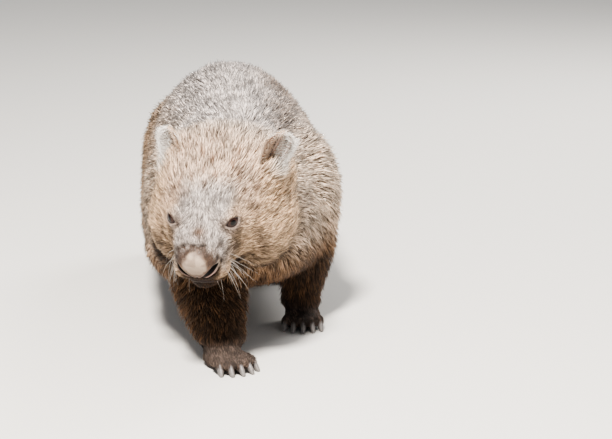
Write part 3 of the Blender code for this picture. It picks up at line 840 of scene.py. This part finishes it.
class MakeSkin(bpy.types.Operator):
    """Makes one hide over the whole animal, a coat's depth inside the solids of flesh"""

    bl_idname = "wombat.skin"
    bl_label = "Skin"

    def execute(self, context):
        tones = tones_of(context.scene)
        flesh, balls = welded_flesh(), under_ears()
        faces = np.vstack([flesh[1], balls[1] + len(flesh[0])])
        obj = mesh_object("wombat_skin", np.vstack([flesh[0], balls[0]]), faces)
        fuse = {"mode": "VOXEL", "voxel_size": SKIN_VOXEL}
        modified(obj, ("REMESH", fuse), ("SMOOTH", {"factor": 0.5, "iterations": 6}))
        for _ in range(2):
            points, normals = arrays(obj.data)[:2]
            move_points(obj, points - normals * coat_depth(points, normals)[:, None] / 2)
        modified(obj, ("SMOOTH", {"factor": 0.5, "iterations": 3}))
        points, normals = arrays(obj.data)[:2]
        # The hide is darkened: its underfur, and painted shade deep in the coat
        paint(obj, SKIN_UNDERCOAT_AND_SHADE * markings_and_shade(points, normals, tones))
        move_points(obj, clear_eyes(points))
        obj.data.shade_smooth()
        dress(obj, hide_material(), "short_coat", *FLESH)
        return {"FINISHED"}


def along_nostril(x, z):
    """Share of the way from a nostril's inner end to its outer one, the distance from its line,
    and how far below that line a point of the nose's front lies."""
    line = NOSTRIL_OUTER - NOSTRIL_INNER
    length = np.linalg.norm(line)
    away = np.stack([np.abs(x), z], axis=-1) - NOSTRIL_INNER
    share = np.clip(away @ line / length**2, 0, 1)
    below = (away @ np.array((line[1], -line[0]))) / length
    return share, np.linalg.norm(away - share[..., None] * line, axis=-1), below


class MakeNose(bpy.types.Operator):
    """Makes the bare nose pad with its slanting nostrils, their lobes and the groove to the lip"""

    bl_idname = "wombat.nose"
    bl_label = "Nose"

    def execute(self, context):
        # Oval rings, squarer the wider they are: x and z go as sin(polar) ** 0.9 out to the widest,
        # then flare into the hide round them, and y goes as (1 - cos(polar)) ** 1.3
        tones = tones_of(context.scene)
        polar = np.linspace(0.015, 2.2, 110)[:, None]
        turn = circle(260)[None]
        flare = 0.10 + 0.22 * np.maximum(np.sin(turn), 0)
        wide = np.sin(np.minimum(polar, math.pi / 2)) ** 0.9 + flare * ramp(polar, 1.40, 2.2)
        power = mix(2.0, 2.2, ramp(polar, 0.6, 1.5))
        x = NOSE_HALF_WIDTH * wide * rounded(np.cos(turn), power)
        z = NOSE_MIDDLE + NOSE_HALF_HEIGHT * wide * rounded(np.sin(turn), power)
        y = NOSE_DEPTH * (1 - np.cos(polar)) ** 1.3
        share, distance, below = along_nostril(x, z)
        slit = mix(*NOSTRIL_WIDTHS, share**1.2)
        hole = fade(distance, 0.55 * slit, 1.15 * slit)
        wing = hump(distance, slit + 0.0022, 0.0016) * (below < 0)
        lobe = hump(below, 0.0042, 0.0026) * ramp(share, 0.02, 0.25) * fade(share, 0.80, 1.0)
        groove = hump(x, 0, 0.0011) * ramp(-z, 0.021, 0.026)
        crest = hump(x, 0, 0.012) * hump(z, 0.002, 0.011)
        push = NOSTRIL_DEPTH * hole - 0.0009 * wing - 0.0017 * lobe
        push = push + 0.0013 * groove - 0.0012 * crest
        inward = unit(vectors(-0.30 * np.sign(x) * share, 1.0, 0.0))
        own = vectors(x, y, z) + push[..., None] * inward
        patch = noise(own.reshape(-1, 3), 0.006, 51).reshape(x.shape)
        above = ramp(-below, -0.001, 0.003)
        colour = tinted(
            tones["nose"],
            tones,
            # Painted shade: the pad darker towards its bottom
            ("nose_edge", 0.70 * fade(z + 0.003 * patch, -0.027, 0.001)),
            ("nose_edge", 0.95 * above * ramp(on_dome(own) + 0.14 * patch, 0.72, 1.08)),
            ("nose_edge", 0.35 * ramp(patch, 0.1, 0.8)),
            ("lobe", 1.4 * lobe),
            ("lip", 0.9 * ramp(-z, 0.0285, 0.0315) + 0.8 * groove),
            # The nostrils' dark lining, with painted shade in their depth
            ("nostril", fade(distance, 0.95 * slit, 1.35 * slit)),
        )
        obj = tubes("nose_pad", from_head(own)[None])
        paint(obj, with_ends(colour))
        dress(obj, nose_material(), "bare_nose", "nose")
        return {"FINISHED"}


class MakeEyes(bpy.types.Operator):
    """Makes the eyeballs, and round each a ring of skin that is its two lids"""

    bl_idname = "wombat.eyes"
    bl_label = "Eyes and lids"

    def execute(self, context):
        tones = tones_of(context.scene)
        wet, skin = eye_material(), bare_skin_material()
        for name, side in SIDES.items():
            centre, axes = eye_axes(side)

            def placed(own, centre=centre, axes=axes):
                return from_head(centre + own @ axes.T)

            dress(self.ball(name, placed, tones), wet, "dark_eye", f"eye_{name}")
            dress(self.lids(name, placed, tones), skin, "short_coat")
        return {"FINISHED"}

    def ball(self, name, placed, tones):
        """A sphere swollen at its front by a bell curve of the polar angle, which is the cornea."""
        polar = np.linspace(0.02, math.pi - 0.02, 48)[:, None]
        turn = circle(64)[None]
        radius = EYE_RADIUS * (1 + CORNEA_SWELL * hump(polar, 0, 0.5))
        own = radius[..., None] * on_ball(polar, turn)
        angle = (polar + 0 * turn)[..., None]
        colour = layered(
            tones["pupil"],
            (tones["iris"], ramp(angle, 0.28, 0.40)),
            (0.25 * tones["iris"], ramp(angle, 0.60, 0.82)),
            (0.9 * tones["lid"], ramp(angle, 0.95, 1.05)),
        )
        obj = tubes(f"eyeball_{name}", placed(own)[None])
        paint(obj, with_ends(colour))
        return obj

    def lids(self, name, placed, tones):
        """A ring round the slit, whose edge is (a cos t, b sin t |sin t| ** 0.3) on a ball.

        s runs out over the lid from 0 at the edge to 1 under the coat, then back beneath. The
        polar angle goes from the edge's to LID_REACH, the radius over a rolled rim and out into
        the hide."""
        t = circle(140)[:, None]
        s = np.concatenate([np.linspace(0, 1, 22), np.linspace(0.95, 0.05, 10)])[None]
        beneath = np.arange(s.size)[None] >= 22
        shell = EYE_RADIUS + LID_THICKNESS
        u = LID_HALF_LENGTH * np.cos(t)
        v = LID_HALF_WIDTH * np.sin(t) * np.abs(np.sin(t)) ** 0.3
        edge = np.arcsin(np.hypot(u, v) / shell)
        polar = mix(edge, LID_REACH, s**1.1)
        places = (0, 0.05, 0.12, 0.30, 0.65, 1)
        proud = np.interp(s, places, (0.0001, 0.0010, 0.0015, LID_THICKNESS, 0.0019, 0.0038))
        upper = np.sin(t) > 0
        fold = np.where(upper, 0.00045, 0.0002) * np.sin(30 * s) * ramp(s, 0.1, 0.3)
        radius = EYE_RADIUS + np.where(beneath, -0.0012, proud + fold)
        own = radius[..., None] * on_ball(polar, np.arctan2(v, u))
        # The upper lid is darker and its dark rim wider: partly its own skin, partly painted shade
        # under the brow
        rim = 1 - ramp(s, 0.05, np.where(upper, 0.40, 0.12))[..., None]
        colour = mix(0.48, 0.32, upper[..., None]) * tones["eye_ring"]
        colour = mix(colour, tones["lid"], rim)
        colour = mix(colour, 0.45 * tones["lid"], fade(s, 0.02, 0.08)[..., None])
        obj = tubes(f"eyelids_{name}", placed(own)[None], ring=True)
        paint(obj, colour.reshape(-1, 3))
        return obj


def hide_tree():
    """The hide as a tree of triangles that rays can meet."""
    points, _, triangles = arrays(bpy.data.objects["wombat_skin"].data)
    return BVHTree.FromPolygons(points.tolist(), triangles.tolist())


def met(tree, starts, ways):
    """Where rays from points of the head's frame first meet the hide, in that frame."""
    starts, ways = from_head(starts), ways @ HEAD_TURN.T
    hits = [tree.ray_cast(start, way)[0] for start, way in zip(starts.tolist(), ways.tolist())]
    return to_head(np.array([tuple(hit) for hit in hits]))


def swept(path, out, up, radius, sides):
    """Rings of a round tube: path + radius (cos a out + sin a up), for each point of the path."""
    turn = circle(sides)[:, None]
    across = np.cos(turn) * out[..., None, :] + np.sin(turn) * up[..., None, :]
    return path[..., None, :] + radius[..., None, None] * across


class MakeLips(bpy.types.Operator):
    """Rolls the two lips along the line where the mouth's plane meets the hide"""

    bl_idname = "wombat.lips"
    bl_label = "Lips"

    def execute(self, context):
        tones = tones_of(context.scene)
        at = np.linspace(-1, 1, 81)
        tilt = np.array(turned(MOUTH_SLOPE, "X"))
        angle = np.radians(MOUTH_HALF_ANGLE) * at
        out = vectors(np.sin(angle), -np.cos(angle), 0.0) @ tilt.T
        middle = MOUTH_FRONT + tilt @ np.array((0, MOUTH_MIDDLE, 0))
        line = met(hide_tree(), np.broadcast_to(middle, out.shape), out)
        for _ in range(6):
            line[1:-1] = (line[:-2] + 2 * line[1:-1] + line[2:]) / 4
        up = np.broadcast_to(tilt[:, 2], out.shape)
        ends = np.sqrt(1 - 0.98 * at**6)
        for name, level, size in LIPS:
            path = line + level * up - 0.0006 * out
            rings = swept(path, out, up, size * ends, 12)
            obj = tubes(name, from_head(rings)[None])
            shade = 0.85 + 0.25 * noise(rings.reshape(-1, 3), 0.004, 61)
            colour = (tones["lip"] * shade[:, None]).reshape(rings.shape)
            paint(obj, with_ends(colour))
            dress(obj, bare_skin_material(), "bare_nose")
        return {"FINISHED"}


def ear_surface(side_name, rows, columns):
    """Rings round a cupped leaf, from its root to its tip, and what they are made from.

    Half the width is w (0.72 + 0.55 u) sqrt(1 - u ** 6) at the share u of the height. Each level
    is an arc, gone along its back from edge to edge and then along its front, the wall between."""
    side = SIDES[side_name]
    lean_out, lean_back, turn_out = EAR_POSES[side_name]
    up = np.sin(np.linspace(0, math.radians(88), rows))[:, None]
    across = np.linspace(-1, 1, columns)
    across = np.concatenate([across, across[::-1]])[None]
    front = np.arange(2 * columns)[None] >= columns
    half = EAR_HALF_WIDTH * (0.72 + 0.55 * up) * np.sqrt(1 - up**6)
    bend = np.radians(78 - 40 * up)
    arc = half / np.sin(bend)
    wall = mix(*EAR_WALLS, np.abs(across) ** 3) * mix(1.0, 0.55, up)
    crease = 0.0007 * np.sin(9 * across + 3 * up) * front * (1 - np.abs(across))
    reach = arc + np.where(front, -wall, wall) / 2 + crease
    curl = 0.0026 * ramp(np.abs(across), 0.72, 1.0) * up
    x = reach * np.sin(across * bend)
    y = reach * np.cos(across * bend) - arc * np.cos(bend) + curl
    z = -EAR_ROOT + (EAR_HEIGHT + EAR_ROOT) * up - 0.006 * across**2 * up
    turn = np.array(
        turned(side * lean_out, "Y") @ turned(-lean_back, "X") @ turned(side * turn_out, "Z")
    )
    place = from_head(EAR_BASES[side_name] + vectors(x, y, z) @ turn.T)
    return place, turn, vectors(up, across, front.astype(float))


class MakeEars(bpy.types.Operator):
    """Makes each ear as a thin cupped leaf with a rolled rim, furred and fringed with white"""

    bl_idname = "wombat.ears"
    bl_label = "Ears"

    def execute(self, context):
        tones = tones_of(context.scene)
        rng = np.random.default_rng(context.scene.wombat_coat.seed + 1)
        skin, hair = bare_skin_material(), hair_material()
        for name in SIDES:
            rings, turn, fields = ear_surface(name, 40, 34)
            up, across, front = np.moveaxis(with_ends(fields), -1, 0)
            obj = tubes(f"ear_skin_{name}", rings[None])
            # Painted shade deep in the concha, darkening its skin
            deep = hump(across * SIDES[name], -0.10, 0.11) * fade(up, 0.78, 0.95)
            inner = mix(tones["ear_skin"], 0.10 * tones["ear_skin"], deep[:, None])
            rim = ramp(np.abs(across), 0.80, 1.0)[:, None]
            colour = mix(0.75 * tones["crown"], inner, front[:, None])
            paint(obj, mix(colour, 0.8 * tones["ear_white"], 0.7 * rim))
            dress(obj, skin, "ear_skin", f"ear_{name}")
            coat = self.coat(name, obj, (up, across, front), turn, tones, rng)
            dress(coat, hair, "ear_skin")
        return {"FINISHED"}

    def coat(self, name, obj, fields, turn, tones, rng):
        """Hair up back and inner side, painted shade in the concha, a white fringe on the outer."""
        points, normals, triangles = arrays(obj.data)
        up, across, front = fields
        edge = ramp(np.abs(across), 0.70, 0.98)
        outer = across * SIDES[name]
        concha = front * hump(outer, -0.10, 0.08) * fade(up, 0.80, 0.94)
        spacing = mix(mix(0.0013, 0.0010, edge), 0.0034, concha)
        owner, weights = scatter(points, triangles, spacing, rng)
        fields = np.stack([up, across, front, edge, outer, concha], axis=1)
        up, across, front, edge, outer, concha = carried(fields, triangles, owner, weights).T
        roots = carried(points, triangles, owner, weights)
        normals = unit(carried(normals, triangles, owner, weights))
        tip, out = HEAD_TURN @ turn[:, 2], HEAD_TURN @ turn[:, 0]
        lie = tip + (0.9 * edge * np.sign(across))[:, None] * out
        lie = lie + (0.7 * front * (1 - edge) * np.sign(across))[:, None] * out
        count = len(roots)
        fringe = ramp(outer, 0.12, 0.55) * np.clip(front + edge, 0, 1)
        length = mix(EAR_HAIR["back"], EAR_HAIR["cup"], front * (1 - edge))
        length = mix(length, EAR_HAIR["fringe"], fringe)
        length *= mix(1.0, 0.6, ramp(up, 0.80, 1.0))
        length *= rng.uniform(0.65, 1.2, count) * mix(1.0, 0.4, concha)
        back = mix(tones["cheek"], tones["crown"], rng.random(count)[:, None])
        cup = front * ramp(outer, -0.45, 0.10)
        pale = np.clip(fringe + 0.8 * edge * ramp(up, 0.75, 0.95) + 0.15 * front + cup, 0, 1)
        tone = mix(0.85 * back, tones["ear_white"], pale[:, None])
        # Painted shade: the concha's hair darkened towards the ear skin
        tone = mix(tone, 0.25 * tones["ear_skin"], 0.8 * concha[:, None])
        tone = tone * (1 + rng.normal(0, 0.16, (count, 1))).clip(0.3)
        lift = mix(16.0, 28.0, fringe) + 30 * front * (1 - edge) + rng.normal(0, 6, count)
        strands = {
            "roots": roots,
            "normals": normals,
            "lie": laid(lie, normals),
            "length": length,
            "width": np.full(count, EAR_HAIR_WIDTH),
            "lift": np.radians(lift),
            "bow": rng.normal(0.12, 0.05, count),
            "sway": rng.normal(0, 0.12, count),
            "colours": banded(tone, EAR_ROOT_SHADED_BANDS),
        }
        place = np.stack([across + 2.2 * (front > 0.5), up], axis=1)
        return tuft_mesh(f"ear_coat_{name}", strands, square(place))


class MakeClaws(bpy.types.Operator):
    """Makes the digging claws of each foot as blunt, keeled blades that curve down"""

    bl_idname = "wombat.claws"
    bl_label = "Claws"

    def execute(self, context):
        tones = tones_of(context.scene)
        horn = horn_material()
        along = np.linspace(0, 1, 26)[:, None]
        turn = circle(20)[None]
        # Each ring is an oval whose top is drawn to a keel, and narrows as sqrt(1 - 0.9 s squared)
        size = CLAW_RADIUS * np.sqrt(1 - 0.90 * along**2)
        flute = 1 + 0.05 * np.cos(7 * turn) * (1 - along)
        across = 0.72 * size * np.cos(turn) * flute * (1 - 0.18 * np.sin(turn))
        height = size * np.sin(turn) * flute
        for name, (sole, heading, half_width, half_length, toes) in FEET.items():
            offset = np.linspace(-1, 1, toes)[:, None, None]
            fan = math.radians(TOE_FAN) * offset
            reach = half_length * (0.62 - 0.26 * offset**2) - CLAW_SUNK + along * CLAW_LENGTH
            x = 0.72 * half_width * offset + np.sin(fan) * reach + np.cos(fan) * across
            y = -0.55 * half_length - np.cos(fan) * reach + np.sin(fan) * across
            z = TOE_LEVEL - CLAW_DROOP * along**1.8 + height
            c, s = math.cos(math.radians(heading)), math.sin(math.radians(heading))
            x, y = c * x - s * y + sole[0], s * x + c * y + sole[1]
            rings = vectors(x, y, z) + (HEAD_PLACE - NOSE_TIP)
            rings[..., 2] = np.maximum(rings[..., 2], FLOOR_CLEARANCE)
            obj = tubes(f"claws_{name}", rings)
            streak = 1 + 0.14 * np.sin(5 * turn + 1.3) + 0 * along
            worn = ramp(along, 0.35, 1.0)[..., None]
            colour = mix(tones["claw"], tones["claw_tip"], worn) * streak[..., None]
            paint(obj, np.tile(with_ends(colour), (toes, 1)))
            dress(obj, horn, "claw_horn", *(n for n in CLAWS if n.startswith(name)))
        return {"FINISHED"}


class MakeWhiskers(bpy.types.Operator):
    """Sets four rows of stiff, drooping whiskers in each side of the muzzle"""

    bl_idname = "wombat.whiskers"
    bl_label = "Whiskers"

    def execute(self, context):
        # A whisker's axis is root + L (s way + s squared droop), and it tapers as 1 - 0.8 s
        settings = context.scene.wombat_face
        rng = np.random.default_rng(context.scene.wombat_coat.seed + 2)
        tree = hide_tree()
        made, shader = new_material("whisker_keratin", Roughness=0.35, IOR=1.55)
        shader.inputs["Base Color"].default_value = (*settings.whisker, 1)
        numbers = np.arange(WHISKER_ROWS)
        row, column = (grid.ravel() for grid in np.meshgrid(numbers, numbers))
        count = len(row)
        s = np.linspace(0, 1, 14)
        for name, side in SIDES.items():
            level = -0.012 - 0.0065 * row + rng.normal(0, 0.0012, count)
            depth = 0.024 + 0.0055 * column + rng.normal(0, 0.0012, count)
            root = met(tree, vectors(0.0, depth, level), vectors(side + 0 * level, 0.0, 0.0))
            way = vectors(side * (0.75 - 0.12 * row), -0.30 + 0.16 * column, -0.50 - 0.16 * row)
            way = unit(way + rng.normal(0, 0.16, way.shape))
            droop = np.array((-0.15 * side, 0.20, -0.40)) + rng.normal(0, 0.07, way.shape)
            length = settings.whisker_length * rng.uniform(0.5, 1.0, count) * (0.6 + 0.1 * column)
            path = s[:, None] * way[:, None] + s[:, None] ** 2 * droop[:, None]
            path = root[:, None] + length[:, None, None] * path
            out = unit(np.cross(way, (0.0, 0.3, 1.0)))[:, None]
            up = unit(np.cross(out, way[:, None]))
            radius = WHISKER_RADIUS * (1 - 0.8 * s) + 0 * length[:, None]
            obj = tubes(f"whiskers_{name}", from_head(swept(path, out, up, radius, 5)))
            dress(obj, made, "short_coat")
        return {"FINISHED"}


def hairy_hide(points, normals):
    """True where hair grows on the hide: not under the nose pad or the lids, nor on the soles."""
    q = to_head(points)
    bare = (q[:, 1] < 0.034) & (on_pad(q) < 1.0)
    bare |= (points[:, 2] < 0.004) & (normals[:, 2] < -0.6)
    for centre, _ in eye_places():
        bare |= apart(q, centre) < BARE_ROUND_EYE
    return ~bare


def hairy_face(points, normals):
    """True where down grows on the nose pad and the lids: over the pad's edge, off the rims."""
    q = to_head(points)
    wavy = 0.12 * noise(q, 0.004, 71)
    grown = (on_dome(q) + wavy > 1.0) & (q[:, 2] > -0.003) | (on_pad(q) + wavy > 1.04)
    grown &= q[:, 1] < 0.040
    for side in SIDES.values():
        centre, axes = eye_axes(side)
        own = (q - centre) @ axes
        slit = np.hypot(own[:, 0] / LID_HALF_LENGTH, own[:, 1] / LID_HALF_WIDTH)
        near = np.linalg.norm(own, axis=1)
        outer = ((normals @ HEAD_TURN) * (q - centre)).sum(axis=1) > 0
        outer &= (near < 0.022) & (near > EYE_RADIUS)
        grown |= outer & (slit > mix(1.14, 1.02, own[:, 1] > 0))
    return grown


def square(places):
    """Places on an unwrap of a stretch of skin, stretched to fill a square but for a margin."""
    low, high = places.min(axis=0), places.max(axis=0)
    return 0.01 + 0.98 * (places - low) / np.maximum(high - low, 1e-9)


def zones(points, m):
    """Name, members, angle round and place along for each tube of skin that the coat covers."""
    x, y, z = points.T
    q = m["q"]
    head = (q[:, 1] < 0.215) & (q[:, 2] > -0.11)
    low = (z < 0.105) & ~head
    left, fore = x > 0.0, y < 0.02
    yield "head", head, np.arctan2(q[:, 0], q[:, 2] + 0.02), q[:, 1]
    yield "trunk", ~head & ~low, np.arctan2(x, z - 0.19), y
    for name, member, middle in (
        ("foreleg_right", low & ~left & fore, (-0.05, -0.29)),
        ("foreleg_left", low & left & fore, (0.09, -0.13)),
        ("hindleg_right", low & ~left & ~fore, (-0.095, 0.30)),
        ("hindleg_left", low & left & ~fore, (0.095, 0.19)),
    ):
        yield name, member, np.arctan2(x - middle[0], y - middle[1]), z


class MakeCoat(bpy.types.Operator):
    """Grows the coat over the skin as joined tufts, in pieces for the head, trunk and legs"""

    bl_idname = "wombat.coat"
    bl_label = "Coat"

    def execute(self, context):
        settings, tones = context.scene.wombat_coat, tones_of(context.scene)
        rng = np.random.default_rng(settings.seed)
        roots, normals = self.roots("wombat_skin", hairy_hide, settings, rng)
        for name in ("nose_pad", "eyelids_right", "eyelids_left"):
            more = self.roots(name, hairy_face, settings, rng)
            roots, normals = np.vstack([roots, more[0]]), np.vstack([normals, more[1]])
        m = masks(roots, normals)
        clump = clumps(roots, m["head"] > 0.5)
        strands = {"roots": roots, "normals": normals}
        strands |= self.sizes(m, clump, settings, rng)
        strands["lie"] = self.lie(roots, normals, strands["length"], clump, m, rng)
        strands["colours"] = self.colours(roots, normals, clump, tones, rng)
        hair = hair_material()
        for name, member, around, along in zones(roots, m):
            found = np.flatnonzero(member)
            found = found[np.argsort(along[found], kind="stable")]
            pieces = np.array_split(found, math.ceil(len(found) / PIECE_TUFTS))
            for number, pick in enumerate(pieces, start=1):
                own = {key: values[pick] for key, values in strands.items()}
                place = square(np.stack([around[pick], along[pick]], axis=1))
                dress(tuft_mesh(f"coat_{name}_{number}", own, place), hair, "short_coat")
        return {"FINISHED"}

    def roots(self, name, grows, settings, rng):
        """Roots and normals over one piece, closest on the muzzle and feet."""
        points, normals, triangles = arrays(bpy.data.objects[name].data)
        m = masks(points, normals)
        body, face = settings.body_spacing, settings.face_spacing
        near = m["head"] * fade(m["q"][:, 1], 0.10, 0.22)
        spacing = layered(
            body,
            (face, near),
            (0.62 * face, m["rim"]),
            (1.15 * body, m["leg"]),
            (1.15 * face, m["foot"]),
        )
        owner, weights = scatter(points, triangles, spacing, rng)
        roots = carried(points, triangles, owner, weights)
        normals = unit(carried(normals, triangles, owner, weights))
        kept = grows(roots, normals)
        return roots[kept], normals[kept]

    def sizes(self, m, clump, settings, rng):
        """Length, width, lift, bow and sway of each tuft, each with its own random share."""
        back, pad = m["q"][:, 1], on_pad(m["q"])
        count = len(pad)
        face = settings.face_length * (0.30 + 0.40 * ramp(back, 0.0, 0.07))
        face += settings.face_length * 0.50 * ramp(back, 0.08, 0.19)
        face *= mix(0.42, 1.0, ramp(m["eye"], 0.014, 0.036))
        down = 0.0024 + 0.0032 * ramp(pad, 0.70, 1.25)
        by_pad = fade(back, 0.022, 0.040) * fade(pad, 1.3, 1.6)
        face = layered(face, (HAIR_LENGTH["ear"], hump(m["ear"], 0.018, 0.024)), (down, by_pad))
        length = layered(
            settings.body_length,
            (HAIR_LENGTH["leg"], m["leg"]),
            (face, m["head"]),
            (HAIR_LENGTH["foot"], m["foot"]),
            (HAIR_LENGTH["tail"], m["tail"]),
        )
        length *= rng.uniform(0.70, 1.20, count)
        lift = mix(24.0, 18.0, m["head"]) + rng.normal(0, 5, count)
        lift += rng.normal(0, 5, clump.max() + 1)[clump] + 16 * hump(m["ear"], 0.018, 0.022)
        lift = mix(mix(lift, 14.0, m["foot"]), 6.0, m["tail"])
        return {
            "length": length,
            "width": length * TUFT_SPREAD + TUFT_WIDTH,
            "lift": np.radians(lift),
            "bow": rng.normal(0.16, 0.04, count),
            "sway": rng.normal(0, 0.07, count),
        }

    def lie(self, roots, normals, length, clump, m, rng):
        """The flow of the coat, turned in whorls and locks, with tips gathered into clumps."""
        lie = hair_lie(roots, normals)
        turn = 0.34 * noise(roots, 0.034, 11) + 0.30 * noise(roots, 0.011, 12)
        turn += rng.normal(0, 0.13, len(roots))
        turn *= 1 - 0.6 * fade(m["eye"], 0.018, 0.040)
        lie = lie * np.cos(turn)[:, None] + np.cross(normals, lie) * np.sin(turn)[:, None]
        return laid(gathered(roots + lie * length[:, None], clump, CLUMP_SHARE) - roots, normals)

    def colours(self, roots, normals, clump, tones, rng):
        """Marking and painted shade here: streaks, dark and pale hairs, and a dark foot to each."""
        base = markings_and_shade(roots, normals, tones)
        count = len(roots)
        streaked = 1 + 0.45 * ramp(to_head(roots)[:, 1], 0.08, 0.20)
        tone = 0.34 * noise(roots, 0.0065, 21) + 0.22 * noise(roots, 0.016, 22)
        tone += rng.normal(0, 0.26, clump.max() + 1)[clump] + rng.normal(0, 0.14, count)
        tone, fleck = np.clip(1 + streaked * tone, 0.42, 1.75), rng.random(count)
        tone = np.where(fleck > 1 - PALE_HAIRS[0], tone * PALE_HAIRS[1], tone)
        tone = np.where(fleck < DARK_HAIRS[0], tone * DARK_HAIRS[1], tone)
        base = base * np.clip(tone, 0.25, 2.0)[:, None]
        # The dark foot of each hair is partly painted shade deep in the coat
        return banded(base, ROOT_SHADED_BANDS)


def facing(way):
    """The rotation of a lamp or camera that looks along a vector."""
    return way.to_track_quat("-Z", "Y").to_euler()


class MakeStage(bpy.types.Operator):
    """Makes the pale floor, the soft lights and the camera"""

    bl_idname = "wombat.stage"
    bl_label = "Stage"

    def execute(self, context):
        settings = context.scene.wombat_stage
        corners = np.array(((-1, -1, 0), (1, -1, 0), (1, 1, 0), (-1, 1, 0))) * FLOOR_REACH
        floor = mesh_object("stage_floor", corners, np.array([[0, 1, 2, 3]]))
        made, shader = new_material("pale_matt_floor_paint", Roughness=0.9)
        shader.inputs["Base Color"].default_value = (*settings.floor, 1)
        floor.data.materials.append(made)

        world = bpy.data.worlds.new("studio_air")
        world.use_nodes = True
        air = world.node_tree.nodes["Background"]
        air.inputs["Color"].default_value = (0.93, 0.96, 1.0, 1)
        air.inputs["Strength"].default_value = settings.fill
        context.scene.world = world

        def lamp(name, place, size, power, colour):
            light = bpy.data.lights.new(name, "AREA")
            light.shape = "DISK"
            light.size = size
            light.energy = power
            light.color = colour
            obj = bpy.data.objects.new(name, light)
            context.scene.collection.objects.link(obj)
            obj.location = place
            obj.rotation_euler = facing(Vector(LIGHTS_AIM) - Vector(place))

        lamp("key_light", KEY_PLACE, 0.6, settings.key, (1.0, 0.95, 0.89))
        lamp("rim_light", RIM_PLACE, 1.2, 0.20 * settings.key, (1.0, 0.98, 0.95))

        lens = bpy.data.cameras.new("camera")
        lens.lens = LENS_MM
        lens.sensor_width = SENSOR_MM
        camera = bpy.data.objects.new("camera", lens)
        camera.location = CAMERA_PLACE
        look = Vector((math.sin(CAMERA_AZIMUTH), math.cos(CAMERA_AZIMUTH), 0))
        look *= math.cos(CAMERA_PITCH)
        look.z = -math.sin(CAMERA_PITCH)
        camera.rotation_euler = facing(look)
        context.scene.collection.objects.link(camera)
        context.scene.camera = camera
        context.scene.view_settings.look = "AgX - Medium High Contrast"
        return {"FINISHED"}


class WombatPanel(bpy.types.Panel):
    """Buttons for the pieces and the sizes and colours that they take"""

    bl_idname = "VIEW3D_PT_wombat"
    bl_label = "Walking Wombat"
    bl_space_type = "VIEW_3D"
    bl_region_type = "UI"
    bl_category = "Wombat"

    def draw(self, context):
        for step in STEPS:
            self.layout.operator(step.bl_idname)
        for group in GROUPS:
            settings = getattr(context.scene, group)
            for name in settings.bl_rna.properties.keys():
                if name not in ("rna_type", "name"):
                    self.layout.prop(settings, name)


STEPS = (
    MakeSkin, MakeNose, MakeEyes, MakeLips, MakeEars, MakeClaws, MakeWhiskers, MakeCoat, MakeStage
)
GROUPS = {"wombat_coat": WombatCoat, "wombat_face": WombatFace, "wombat_stage": WombatStage}


def register():
    for kind in (*GROUPS.values(), *STEPS, WombatPanel):
        bpy.utils.register_class(kind)
    for name, kind in GROUPS.items():
        setattr(bpy.types.Scene, name, PointerProperty(type=kind))


def unregister():
    for name in GROUPS:
        delattr(bpy.types.Scene, name)
    for kind in reversed((*GROUPS.values(), *STEPS, WombatPanel)):
        bpy.utils.unregister_class(kind)


def main():
    register()
    for step in STEPS:
        group, name = step.bl_idname.split(".")
        getattr(getattr(bpy.ops, group), name)()


if __name__ == "__main__":
    main()
